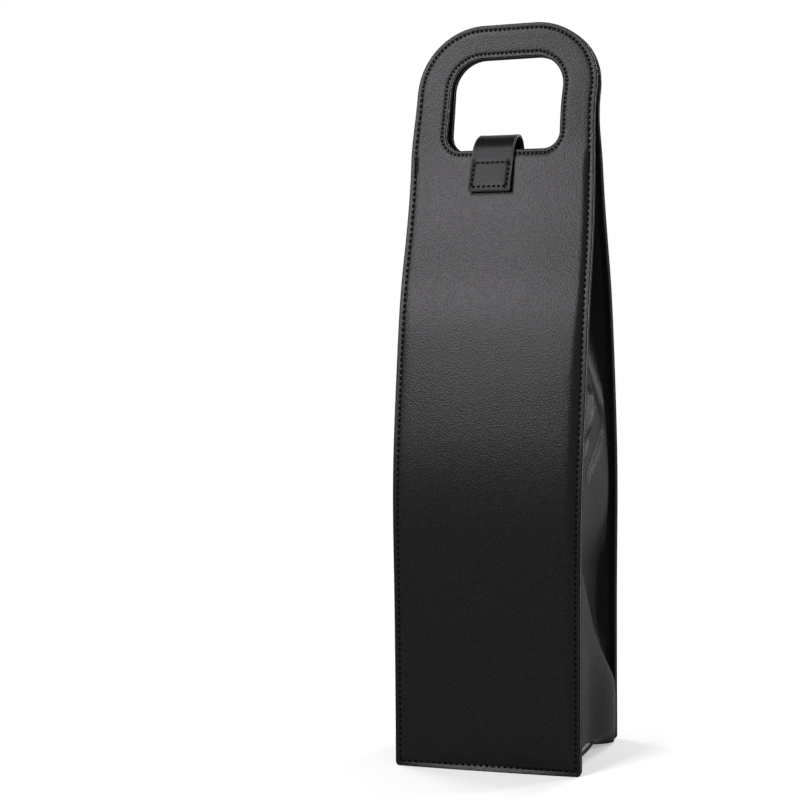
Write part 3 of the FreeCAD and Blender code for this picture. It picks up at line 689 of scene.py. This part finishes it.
# faces and backs are depths below the outer face; a rim's steps are an inset and a share of the thickness
boardGap = 0.02
skinLayer = {
    "face": 0.0, "back": panel["skin"], "sign": 1.0, "grooveShare": 1.0, "swellShare": 1.0,
    "rim": ((0.14, 0.0), (0.0, 0.14), (0.0, 0.55), (0.07, 0.8), (0.22, 0.95)),
    "faceSteps": (-2.1, -1.6, -1.1, -0.7, -0.35, 0.0, 0.35, 0.7, 1.2, 2.0, 3.0),
    "step": 3.5, "backStep": 12.0,
}
liningLayer = {
    "face": panelThick, "back": panel["skin"] + panel["board"], "sign": -1.0,
    "grooveShare": 0.6, "swellShare": 0.0,
    "rim": ((0.24, 0.0), (0.1, 0.14), (0.1, 0.55), (0.17, 0.8), (0.32, 0.95)),
    "faceSteps": (-2.0, -1.2, -0.7, -0.35, 0.0, 0.35, 0.7, 1.6, 3.0),
    "step": 6.0, "backStep": 14.0,
}
boardLayer = {
    "face": panel["skin"] + boardGap, "back": panel["skin"] + panel["board"] - boardGap, "sign": 1.0,
    "grooveShare": 0.0, "swellShare": 0.0, "rim": ((1.65, 0.0), (1.6, 0.1), (1.6, 0.9)),
    "faceSteps": (-0.4, 3.0), "step": 14.0, "backStep": 14.0,
}
sides = (("front", False, "front_panel"), ("back", True, "carrier_back"))
for label, turned, body in sides:
    board = panelLayer(label + "Board", turned, boardLayer, boardFibre)
    dress(board, body, "board", label + "_board")
    skin = panelLayer(label + "Skin", turned, skinLayer, panelLeather)
    dress(skin, body, "leatherette", label + "_outer_skin")
    lining = panelLayer(label + "Lining", turned, liningLayer, liningSheet)
    dress(lining, body, "lining", label + "_lining")
print("panels made")

# stitches: each one a short twisted bar that dips into its holes
stitch = {
    "share": 0.7, "width": 0.9, "height": 0.56, "lift": 0.06, "dip": 0.26, "rings": 7, "round": 8,
    "turns": 5.0, "plies": 2, "endShare": 0.12, "taperShare": 0.8, "edgeBold": 1.25,
    "sunk": 0.16, "liningSunk": 0.02,
}


def stitchForm():
    along = np.linspace(-1, 1, stitch["rings"])
    angle = np.arange(stitch["round"]) / stitch["round"] * 2 * math.pi
    size = np.sqrt(np.maximum(stitch["endShare"], 1 - stitch["taperShare"] * along ** 6))
    middle = stitch["lift"] - stitch["dip"] * along ** 4
    form = np.zeros((stitch["rings"], stitch["round"], 3))
    form[..., 0] = along[:, None]
    form[..., 1] = stitch["width"] / 2 * size[:, None] * np.cos(angle)
    form[..., 2] = middle[:, None] + stitch["height"] / 2 * size[:, None] * np.sin(angle)
    turns = along[:, None] * stitch["turns"] + angle * stitch["plies"]
    return form.reshape(-1, 3), tubeFaces(stitch["rings"], stitch["round"]), turns.reshape(-1)


# one stitch between each pair of ends, or of the length given, along the same line
def stitchPiece(name, first, last, normals, bold=1.0, length=None):
    form, formFaces, turns = stitchForm()
    form[:, 1:] *= bold
    spans = np.linalg.norm(last - first, axis=1)
    tangents = (last - first) / spans[:, None]
    half = (spans if length is None else np.full(len(spans), length))[:, None, None] / 2
    sideways = np.cross(normals, tangents)
    points = ((first + last)[:, None, :] / 2 + tangents[:, None, :] * form[None, :, :1] * half
              + sideways[:, None, :] * form[None, :, 1:2] + normals[:, None, :] * form[None, :, 2:])
    faces = [[i + n * len(form) for i in face] for n in range(len(spans)) for face in formFaces]
    return makePiece(name, points.reshape(-1, 3), faces, blackThread,
                     {"twist": np.tile(turns, len(spans))}, closed=False)


def ringStitches(sizes, counts, offset, turned, inward=False):
    ends = []
    for way in (-1, 1):
        stations = [(k, (i + 0.5 + way * stitch["share"] / 2) / count)
                    for k, count in enumerate(counts) for i in range(count)]
        spots = ringPoints(sizes, np.array(stations))
        ends.append(panelPoint(spots[:, 0], spots[:, 1], offset, turned))
    first, last = ends
    return first, last, panelNormal((first + last)[:, 2] / 2, turned) * (-1 if inward else 1)


outside, inside = seam["deep"] - stitch["sunk"], panelThick - stitch["liningSunk"]
edgeRing, holeRing = outlineSizes(seam["inset"]), holeSizes(seam["holeInset"])
for label, turned, body in sides:
    run = ringStitches(edgeRing, edgeCounts, outside, turned)
    edge = stitchPiece(label + "EdgeStitches", *run, stitch["edgeBold"])
    dress(edge, body, "thread", label + "_edge_thread")
    rim = stitchPiece(label + "HandHoleStitches", *ringStitches(holeRing, holeCounts, outside, turned))
    dress(rim, body, "thread", label + "_hand_hole_thread")
    run = ringStitches(holeRing, holeCounts, inside, turned, inward=True)
    dress(stitchPiece(label + "HandHoleLiningStitches", *run), body, "thread")

# bar tacks: two dense rows where the gussets end
tack = {"top": 304.5, "length": 9.0, "rows": (2.6, 4.0), "pitch": 1.0, "share": 0.95}


def barTacks(name, turned):
    levels = tack["top"] - (np.arange(round(tack["length"] / tack["pitch"])) + 0.5) * tack["pitch"]
    places = [side * (panel["width"] / 2 - inset) for side in (-1, 1) for inset in tack["rows"]]
    x, z = np.array([(place, level) for place in places for level in levels]).T
    first, last = (panelPoint(x, z + way * tack["pitch"] / 2, 0.0, turned) for way in (-1, 1))
    normals = panelNormal((first + last)[:, 2] / 2, turned)
    return stitchPiece(name, first, last, normals, length=tack["pitch"] * tack["share"])


for label, turned, body in sides:
    dress(barTacks(label + "BarTacks", turned), body, "thread", label + "_bar_tacks")
print("stitches made")

# gussets: a soft strip each side, flanged onto the linings, folded in and turned under the base
gusset = {
    "thick": 0.9, "seatGap": 0.06,
    "flange": (47.7, 46.8, 45.7, 44.9), "corner": ((44.35, 0.12), (43.8, 0.55)),
    "bend": 1.2, "web": 43.5, "top": 304.3, "turnTop": 11.0, "turnRadius": 5.6, "under": 6.0, "foot": 0.6,
    "edgeMargin": 0.3, "underRows": 6, "turnRows": 12, "rows": 120, "webColumns": 64,
    "puckerFront": 0.13, "puckerBack": 0.6, "heldFront": 0.08, "heldBack": 0.1,
}
# what shapes the web; v runs across it from 0 at the front to 1 at the back
# a fold that opens out towards the shoulder
fold = {
    "deep": 17.0, "run": 22.0, "from": 191.0, "slant": 30.0, "slantFrom": 0.4, "slantRun": 0.5,
    "middle": 0.5, "sway": 0.04, "swaySpan": 37.0, "round": 0.5,
}
# a ridge that stands out below the fold
brow = {"out": 4.8, "peak": 0.22, "end": 0.46, "from": 148.0, "rise": 26.0, "to": 183.0, "fall": 13.0}
# a step along a slanting line, from its high end (v, z) to its low end
crease = {
    "high": (0.06, 113.0), "low": (0.92, 36.0), "step": 5.2, "run": 6.0, "lead": 0.3,
    "upper": 0.7, "upperFrom": 90.0, "upperRun": 36.0, "foot": 16.0, "footRun": 22.0,
}
# sharp pleats, soft bulges, and the loose web above the foot
pleats = (
    {"from": (0.62, 182.0), "to": (0.16, 150.0), "rise": 12.0, "fall": 1.6, "deep": 1.8},
    {"from": (0.80, 164.0), "to": (0.38, 142.0), "rise": 9.0, "fall": 1.8, "deep": 1.5},
)
pleatEnd = {"past": 0.25, "run": 0.35, "hollow": 1.5}
bulges = (
    {"v": 0.82, "reach": 0.26, "level": 138.0, "height": 34.0, "out": 2.6},
    {"v": 0.35, "reach": 0.28, "level": 209.0, "height": 8.0, "out": 1.8},
)
flap = {"out": 5.5, "from": 0.35, "run": 0.55, "level": 24.0, "fade": 46.0}


# a pleat rises gently from the front and falls off sharply behind
def pleatDepth(v, z, pleat, width):
    (v0, z0), (v1, z1) = pleat["from"], pleat["to"]
    along = np.array([(v1 - v0) * width, z1 - z0])
    length = np.linalg.norm(along)
    along = along / length
    dy, dz = (v - v0) * width, z - z0
    run = (dy * along[0] + dz * along[1]) / length
    off = dy * -along[1] + dz * along[0]
    front = smoothStep(1 + off / pleat["rise"]) ** pleatEnd["hollow"]
    behind = 1 - smoothStep(off / pleat["fall"])
    past, fade = pleatEnd["past"], pleatEnd["run"]
    ends = smoothStep((run + past) / fade) * smoothStep((1 + past - run) / fade)
    return pleat["deep"] * np.where(off < 0, front, behind) * ends


def foldDepth(v, z):
    begin = fold["from"] - fold["slant"] * smoothStep((v - fold["slantFrom"]) / fold["slantRun"])
    rise = np.maximum(z - begin, 0) / fold["run"]
    middle = fold["middle"] + fold["sway"] * np.sin(z / fold["swaySpan"])
    tent = np.where(v < middle, v / middle, (1 - v) / (1 - middle))
    shape = tent * (1 + fold["round"] - fold["round"] * tent)
    return fold["deep"] * (1 - np.exp(-rise * rise / (1 + rise))) * shape


def browHeight(v, z):
    peak, end = brow["peak"], brow["end"]
    ridge = np.where(v < peak, v / peak, smoothStep((end - v) / (end - peak)))
    span = smoothStep((z - brow["from"]) / brow["rise"]) * (1 - smoothStep((z - brow["to"]) / brow["fall"]))
    return brow["out"] * ridge * span


def creaseDepth(v, z, width):
    (v0, z0), (v1, z1) = crease["high"], crease["low"]
    across = np.array([z0 - z1, (v1 - v0) * width])
    across = across / np.linalg.norm(across)
    off = (v - v0) * width * across[0] + (z - z0) * across[1]
    upper = smoothStep((z - crease["upperFrom"]) / crease["upperRun"])
    step = crease["step"] + (crease["upper"] - crease["step"]) * upper
    step = step * smoothStep((z - crease["foot"]) / crease["footRun"])
    return step * smoothStep(off / crease["run"] + crease["lead"])


def gussetInward(v, z, width):
    loose = creaseDepth(v, z, width) + sum(pleatDepth(v, z, pleat, width) for pleat in pleats)
    for bulge in bulges:
        near = ((v - bulge["v"]) / bulge["reach"]) ** 2 + ((z - bulge["level"]) / bulge["height"]) ** 2
        loose = loose - bulge["out"] * np.exp(-near)
    hang = smoothStep((v - flap["from"]) / flap["run"]) * (1 - smoothStep((z - flap["level"]) / flap["fade"]))
    held = smoothStep(v / gusset["heldFront"]) * smoothStep((1 - v) / gusset["heldBack"])
    return foldDepth(v, z) - browHeight(v, z) + (loose - flap["out"] * hang) * held


# one row of a gusset: front flange, web and back flange; run is the way up from the top of the turn
def gussetRow(side, run):
    radius = gusset["turnRadius"]
    turn = radius * math.pi / 2
    level = gusset["turnTop"] + max(run, 0.0)
    below = max(-run, 0.0)
    z = level - (gusset["turnTop"] - gusset["foot"]) * min(1.0, below / (turn + gusset["under"]))
    seat = float(softDepth(max(z, 0), panelThick + gusset["seatGap"] + gusset["thick"] / 2))
    half = seat - gusset["bend"]
    v = np.linspace(0, 1, gusset["webColumns"])
    frontShift, backShift = edgeShift(side, z, False), edgeShift(side, z, True)
    flare = frontShift + (backShift - frontShift) * v
    x = gusset["web"] + flare - gussetInward(v, np.full_like(v, level), 2 * half)
    zs = np.full_like(v, z)
    if run < 0:
        angle = min(below / radius, math.pi / 2)
        turnX = x - radius * (1 - math.cos(angle)) - max(0.0, below - turn)
        turnZ = gusset["turnTop"] - radius * math.sin(angle)
        share = smoothStep(v / gusset["puckerFront"]) * smoothStep((1 - v) / gusset["puckerBack"])
        x = x + (turnX - x) * share
        zs = zs + (turnZ - zs) * share
    # the flange keeps inside the panel's rounded foot
    foot = panel["footRadius"]
    dip = max(0.0, foot - z)
    limit = panel["width"] / 2 - foot + math.sqrt(max(0.0, foot ** 2 - dip ** 2))
    flange = np.array(gusset["flange"])
    outer, inner = flange[0], flange[-1]
    reach = min(outer, limit - gusset["edgeMargin"])
    flange = inner + (flange - inner) * (reach - inner) / (outer - inner)
    sewn = [(spot, seat) for spot in flange] + [(spot, seat - drop) for spot, drop in gusset["corner"]]
    front = [(spot + frontShift, -depth, z) for spot, depth in sewn]
    back = [(spot + backShift, depth, z) for spot, depth in sewn[::-1]]
    row = np.array(front + list(zip(x, -half + 2 * half * v, zs)) + back)
    return row * (side, 1, 1)


def gussetPiece(name, side):
    turn = gusset["turnRadius"] * math.pi / 2
    runs = np.concatenate([np.linspace(-turn - gusset["under"], -turn, gusset["underRows"])[:-1],
                           np.linspace(-turn, 0, gusset["turnRows"])[:-1],
                           np.linspace(0, gusset["top"] - gusset["turnTop"], gusset["rows"])])
    grid = np.array([gussetRow(side, run) for run in runs])
    # the border rows and columns take the worn edge colour, which also paints a highlight along the gusset's
    # edges
    rim = np.zeros(grid.shape[:2])
    rim[-2:, :] = 1
    rim[:, [0, -1]] = 1
    return sheetPiece(name, grid, gusset["thick"], gussetLeather, rim)


# a line (y, z) across a gusset and the half width of a band about it; turnGusset only works out the line's
# direction and bakes the gusset's place, so the gusset does not turn with the front panel
gussetTurn = {"low": (-36.0, 7.0), "high": (0.5, 304.0), "halfBand": 2.0}


def turnGusset(piece):
    (y0, z0), (y1, z1) = gussetTurn["low"], gussetTurn["high"]
    along = np.array([y1 - y0, z1 - z0])
    along /= np.linalg.norm(along)
    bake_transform(piece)


for label, side in (("left", -1), ("right", 1)):
    piece = gussetPiece(label + "Gusset", side)
    turnGusset(piece)
    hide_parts(label + "_gusset")
print("gussets made")

# base: a sheet between the panels that bends down to the floor at both, with a lining over its board
base = {
    "halfWidth": 43.4, "halfDepth": 39.0, "thick": 0.9, "level": 6.5, "bend": 1.6, "foot": 0.25, "hem": 2.2,
    "bendSteps": 6, "flatSteps": 16, "columns": 40, "sway": 0.35, "swaySpan": 9.0, "swayReach": 30.0,
    "ripple": 0.2, "rippleAcross": 7.0, "rippleAlong": 15.0, "rippleReach": 34.0,
    "liningHalfWidth": 42.0, "liningHalfDepth": 39.2, "liningLow": 9.05, "liningHigh": 9.8,
    "liningCorner": 2.0, "liningEdge": 0.3,
}


def basePath():
    out, level, bend = base["halfDepth"] - base["thick"] / 2, base["level"], base["bend"]
    path = [(-out, base["foot"]), (-out, base["hem"]), (-out, level - bend)]
    for i in range(1, base["bendSteps"]):
        angle = math.pi / 2 * i / base["bendSteps"]
        path.append((-out + bend * (1 - math.cos(angle)), level - bend + bend * math.sin(angle)))
    for y in np.linspace(-out + bend, 0, base["flatSteps"]):
        fade = math.exp(-(y / base["swayReach"]) ** 2)
        path.append((y, level + base["sway"] * math.sin(y / base["swaySpan"]) * fade))
    return path + [(-y, z) for y, z in path[-2::-1]]


def baseGrid():
    across = np.linspace(-base["halfWidth"], base["halfWidth"], base["columns"])
    grid = np.array([[(x, y, z) for y, z in basePath()] for x in across])
    ripple = base["ripple"] * np.sin(grid[..., 0] / base["rippleAcross"] + grid[..., 1] / base["rippleAlong"])
    grid[..., 2] += np.where(np.abs(grid[..., 1]) < base["rippleReach"], ripple, 0)
    return grid


grid = baseGrid()
baseSheet = sheetPiece("baseSheet", grid, base["thick"], gussetLeather, np.zeros(grid.shape[:2]))
dress(baseSheet, "carrier_back", "gusset_leatherette", "base_skin")

# a flat piece with rounded edges and corners, its outline a rounded rectangle
slab = {"perRun": 6, "edgeShare": 0.3, "faceShare": 3.0, "crown": 0.03, "leastCorner": 0.1}


def roundedSlab(name, halfWidth, halfLength, corner, thick, edge, place, material):
    perRun, soft = slab["perRun"], edge * slab["edgeShare"]
    stations = np.array([(k, i / perRun) for k in range(8) for i in range(perRun)])
    profile = [(edge, 0.0), (soft, soft), (0.0, edge), (0.0, thick - edge), (soft, thick - soft),
               (edge, thick), (edge * slab["faceShare"], thick + slab["crown"])]
    points, rims = [], []
    for ring, (inset, height) in enumerate(profile):
        radius = max(corner - inset, slab["leastCorner"])
        sizes = (halfWidth - inset, -halfLength + inset, halfLength - inset, radius, radius)
        points += [place @ Vector((*spot, height)) for spot in ringPoints(sizes, stations)]
        # the rounded edge rings take the worn edge colour, which also paints a highlight along them
        rims += [float(0 < ring < len(profile) - 1)] * len(stations)
    return makePiece(name, points, tubeFaces(len(profile), len(stations)), material, {"rim": rims})


baseLining = roundedSlab("baseLining", base["liningHalfWidth"], base["liningHalfDepth"], base["liningCorner"],
                         base["liningHigh"] - base["liningLow"], base["liningEdge"],
                         Matrix.Translation((0, 0, base["liningLow"])), liningSheet)
dress(baseLining, "carrier_back", "lining", "base_lining")
print("base made")

# strap: one length from the back panel over the lower edge of the hand hole to the tab
strap = {
    "width": 22.0, "offset": -4.0, "thick": 1.2, "skewCrest": 0.4, "skewTip": -1.7,
    "crest": 315.0, "crestGap": 0.15, "crestHalf": 0.1, "crestRows": 5, "bendSteps": 18, "legSteps": 26,
    "nip": 1.6, "nipRun": 11.0, "turnHalf": 0.9, "edgeRound": 0.42, "edgeColumn": 1.0,
    "seamColumns": (-0.5, 0.0, 0.5, 1.2), "faceFrom": 2.6, "faceColumns": 9,
    "rimBand": 0.7, "edgeLift": 0.1, "edgeLiftAt": 1.4, "edgeLiftRun": 1.1, "tipRun": 0.5, "tipShare": 0.72,
}
rootLeg = {"sign": 1, "tip": (15.65, 275.0), "lean": 11.3, "bend": 9.2, "seam": 14.0}
flapLeg = {"sign": -1, "tip": (-15.8, 286.4), "lean": 16.0, "bend": 10.2, "tab": 16.5}
strapSeam = {
    "inset": 2.0, "deep": 0.28, "width": 0.45, "rowWidth": 0.5, "rowShare": 0.8, "rowEdge": 0.4,
    "tabRow": 1.2, "pitch": 2.6, "bold": 1.4, "sunk": 0.1, "skewRun": 6.0,
}


# outer face of one leg, from the crest to its tip: place and outward direction
def legPath(leg):
    slope, bend, sign = math.radians(leg["lean"]), leg["bend"], leg["sign"]
    centre = np.array([sign * strap["crestGap"], strap["crest"] - bend])
    path = []
    for share in np.linspace(0, 1, strap["bendSteps"] + 1):
        angle = math.pi / 2 - (math.pi / 2 - slope) * share
        out = np.array([sign * math.cos(angle), math.sin(angle)])
        path.append((centre + bend * out, out))
    start, out = path[-1]
    for share in np.linspace(0, 1, strap["legSteps"] + 1)[1:]:
        path.append((start + (np.array(leg["tip"]) - start) * share, out))
    return path


# the strap's cross section: places across it and depths below its outer face, and how many are on that face
def strapSection():
    half, thick, edge, inset = strap["width"] / 2, strap["thick"], strap["edgeRound"], strapSeam["inset"]
    soft = edge * slab["edgeShare"]
    seams = [-half + inset + more for more in strap["seamColumns"]]
    left = [-half + edge, -half + strap["edgeColumn"]] + seams
    start = -half + inset + strap["faceFrom"]
    across = left + list(np.linspace(start, -start, strap["faceColumns"])) + [-a for a in left[::-1]]
    rim = [(half - soft, soft), (half, edge), (half, thick - edge), (half - soft, thick - soft)]
    under = [(a, thick) for a in np.linspace(half - edge, -half + edge, strap["faceColumns"])]
    return [(a, 0.0) for a in across] + rim + under + [(-a, d) for a, d in rim[::-1]], len(across)


# how deep the strap's outer face is: seams in its sewn ends, and edges that curl up between them
def strapRelief(a, run, tabStart, rootEnd, length):
    side = strap["width"] / 2 - abs(a)
    if rootEnd <= run <= tabStart:
        return -strap["edgeLift"] * math.exp(-((side - strap["edgeLiftAt"]) / strap["edgeLiftRun"]) ** 2)
    inset, deep = strapSeam["inset"], strapSeam["deep"]
    drop = deep * math.exp(-((side - inset) / strapSeam["width"]) ** 2)
    if side > inset - strapSeam["rowEdge"]:
        rows = (tabStart + strapSeam["tabRow"], length - inset, inset, rootEnd)
        near = min(abs(run - row) for row in rows)
        drop += deep * strapSeam["rowShare"] * math.exp(-(near / strapSeam["rowWidth"]) ** 2)
    return drop


def strapPiece():
    root, free = legPath(rootLeg), legPath(flapLeg)
    crestPlaces = np.linspace(strap["crestHalf"], -strap["crestHalf"], strap["crestRows"])
    crest = [(np.array([y, strap["crest"]]), np.array([0.0, 1.0])) for y in crestPlaces]
    path = root[::-1] + crest + free
    section, faceCount = strapSection()
    steps = np.linalg.norm(np.diff([place for place, out in path], axis=0), axis=1)
    runs = np.concatenate([[0], np.cumsum(steps)])
    length, crestRun = runs[-1], runs[len(root) + strap["crestRows"] // 2]
    tabStart, rootEnd = length - flapLeg["tab"], rootLeg["seam"] + 2 * strapSeam["inset"]
    half, middle = strap["width"] / 2, strap["thick"] / 2
    points, rims = [], []
    for run, ((py, pz), (oy, oz)) in zip(runs, path):
        skew = np.interp(run, (0, crestRun, length), (0, strap["skewCrest"], strap["skewTip"]))
        tip = min(run, length - run)
        full = strap["tipShare"] + (1 - strap["tipShare"]) * min(tip / strap["tipRun"], 1)
        nip = 1 - strap["nip"] / half * math.exp(-((run - crestRun) / strap["nipRun"]) ** 2)
        for k, (a, depth) in enumerate(section):
            relief = strapRelief(a, run, tabStart, rootEnd, length) if k < faceCount else 0
            drop = middle + (depth + relief - middle) * full
            across = a * nip if a < 0 else a
            points.append((strap["offset"] + skew + across, py - oy * drop, pz - oz * drop))
            # the strap's edges and ends take the worn edge colour, which also paints a highlight along them
            rims.append(float(min(half - abs(a), tip) < strap["rimBand"]))
    return makePiece("strap", points, tubeFaces(len(path), len(section)), strapLeather, {"rim": rims})


strapBand = strapPiece()
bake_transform(strapBand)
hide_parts("strap_root", "strap_flap")


def legFrame(leg):
    slope, sign = math.radians(leg["lean"]), leg["sign"]
    upwards = np.array([0.0, -sign * math.sin(slope), math.cos(slope)])
    outwards = np.array([0.0, sign * math.cos(slope), math.sin(slope)])
    return np.array([strap["offset"], *leg["tip"]]), upwards, outwards


# a stitched square on a leg's outer face, near its tip
def squareStitches(name, leg, length, skewLow, skewHigh):
    origin, upwards, outwards = legFrame(leg)
    half = strap["width"] / 2 - strapSeam["inset"]
    low, high = strapSeam["inset"], strapSeam["inset"] + length
    corners = np.array([(-half, low), (half, low), (half, high), (-half, high)])
    ends = []
    for way in (-1, 1):
        spots = []
        for first, last in zip(corners, np.roll(corners, -1, axis=0)):
            count = round(math.dist(first, last) / strapSeam["pitch"])
            shares = (np.arange(count) + 0.5 + way * stitch["share"] / 2) / count
            spots.append(first + (last - first) * shares[:, None])
        a, b = np.concatenate(spots).T
        skew = skewLow + (skewHigh - skewLow) * b / (high + strapSeam["skewRun"])
        flat = np.outer(a + skew, (1, 0, 0)) + np.outer(b, upwards)
        ends.append(origin + flat - outwards * strapSeam["sunk"])
    return stitchPiece(name, *ends, np.tile(outwards, (len(a), 1)), strapSeam["bold"])


tabStitches = squareStitches("tabStitches", flapLeg, flapLeg["tab"] - 2 * strapSeam["inset"],
                             strap["skewTip"], strap["skewCrest"])
dress(tabStitches, "closure_strap", "thread", "tab_thread")
rootStitches = squareStitches("rootStitches", rootLeg, rootLeg["seam"], 0.0, 0.0)
dress(rootStitches, "carrier_back", "thread", "strap_root_thread")

# tab backing under the flap's end
tab = {"margin": 0.3, "thick": 1.6, "gap": 0.04, "corner": 1.2, "edge": 0.45, "skewShare": 0.8}


def makeTabBacking():
    origin, upwards, outwards = legFrame(flapLeg)
    middle = origin + upwards * flapLeg["tab"] / 2 - outwards * (strap["thick"] + tab["thick"])
    middle[0] += strap["skewTip"] * tab["skewShare"]
    place = Matrix(np.column_stack([(1, 0, 0), upwards, outwards]).tolist()).to_4x4()
    place.translation = Vector(middle)
    return roundedSlab("tabBacking", strap["width"] / 2 - tab["margin"], flapLeg["tab"] / 2,
                       tab["corner"], tab["thick"] - tab["gap"], tab["edge"], place, strapLeather)


dress(makeTabBacking(), "closure_strap", "leatherette", "tab_backing")
print("strap made")

# solids of the frame that stay: the base board and the discs
keptSolids = {"base_board": boardFibre, "tab_magnet": platedSteel, "front_catch_disc": platedSteel}
for name, material in keptSolids.items():
    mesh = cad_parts[name].data
    mesh.materials.clear()
    mesh.materials.append(material)

# floor, world and lamps
stageLook = {
    "size": 12.0, "floor": (0.45, 0.45, 0.45), "lift": 0.36, "fill": 0.4, "fadeFrom": 0.12, "fadeTo": 0.36,
}


# 1 for rays that show the background, 0 for those that light the object
def seenRays(tree):
    rays = addNode(tree, "ShaderNodeLightPath", (-800, -300)).outputs
    direct = mathNode(tree, (-600, -300), "MAXIMUM", rays["Is Camera Ray"], rays["Is Glossy Ray"])
    return mathNode(tree, (-400, -300), "MAXIMUM", direct, rays["Is Transmission Ray"])


# far from the object the floor melts into the white behind it
def floorMaterial():
    material, tree, shader = newMaterial("paleFloor")
    tree.nodes.remove(shader)
    seen = seenRays(tree)
    matt = addNode(tree, "ShaderNodeBsdfDiffuse", (0, 0), {"Color": stageLook["floor"]})
    level = mathNode(tree, (-200, -200), "MULTIPLY", seen, stageLook["lift"])
    glow = addNode(tree, "ShaderNodeEmission", (0, -200), {"Strength": level})
    both = addNode(tree, "ShaderNodeAddShader", (200, 0), {0: matt.outputs[0], 1: glow.outputs[0]})
    away = vectorNode(tree, (-600, 300), "LENGTH", {0: objectSpot(tree, (-800, 300))})["Value"]
    inputs = {"Value": away, "From Min": stageLook["fadeFrom"], "From Max": stageLook["fadeTo"]}
    fade = addNode(tree, "ShaderNodeMapRange", (-400, 300), inputs, interpolation_type="SMOOTHSTEP")
    far = mathNode(tree, (-200, 300), "MULTIPLY", fade.outputs["Result"], seen)
    white = addNode(tree, "ShaderNodeEmission", (200, -250))
    inputs = {0: far, 1: both.outputs[0], 2: white.outputs[0]}
    mixed = addNode(tree, "ShaderNodeMixShader", (400, 0), inputs)
    feed(tree, tree.nodes["Material Output"], {"Surface": mixed.outputs[0]})
    return material


def makeFloor():
    half = stageLook["size"] / 2
    mesh = bpy.data.meshes.new("floor")
    corners = [(-half, -half, 0), (half, -half, 0), (half, half, 0), (-half, half, 0)]
    mesh.from_pydata(corners, [], [(0, 1, 2, 3)])
    mesh.materials.append(floorMaterial())
    floor = bpy.data.objects.new("floor", mesh)
    scene.collection.objects.link(floor)


def makeWorld():
    world = bpy.data.worlds.new("studio")
    scene.world = world
    world.use_nodes = True
    tree = world.node_tree
    level = rangeNode(tree, (-200, -300), seenRays(tree), stageLook["fill"], 1.0)
    feed(tree, tree.nodes["Background"], {"Color": (1.0, 1.0, 1.0), "Strength": level})


# places in millimetres, sizes in metres, power in watts
lamps = {
    "key": {"place": (-200, -570, 585), "aim": (0, -15, 380), "size": (0.2, 0.33), "power": 7.2},
    "side": {"place": (600, 545, 180), "aim": (0, 0, 175), "size": (0.16, 0.26), "power": 8.0},
    "back": {"place": (200, 570, 590), "aim": (0, 15, 360), "size": (0.24, 0.28), "power": 4.5},
    "left": {"place": (-560, 300, 320), "aim": (0, 0, 190), "size": (0.3, 0.4), "power": 4.0},
}


def makeLamp(name, lamp):
    data = bpy.data.lights.new(name, "AREA")
    data.shape = "RECTANGLE"
    data.size, data.size_y = lamp["size"]
    data.energy = lamp["power"]
    light = bpy.data.objects.new(name, data)
    light.visible_camera = False
    place, aim = Vector(lamp["place"]) * mm, Vector(lamp["aim"]) * mm
    light.location = place
    light.rotation_euler = (aim - place).to_track_quat("-Z", "Y").to_euler()
    scene.collection.objects.link(light)


makeFloor()
makeWorld()
for name, lamp in lamps.items():
    makeLamp(name, lamp)
scene.view_settings.view_transform = "Standard"
print("stage made")
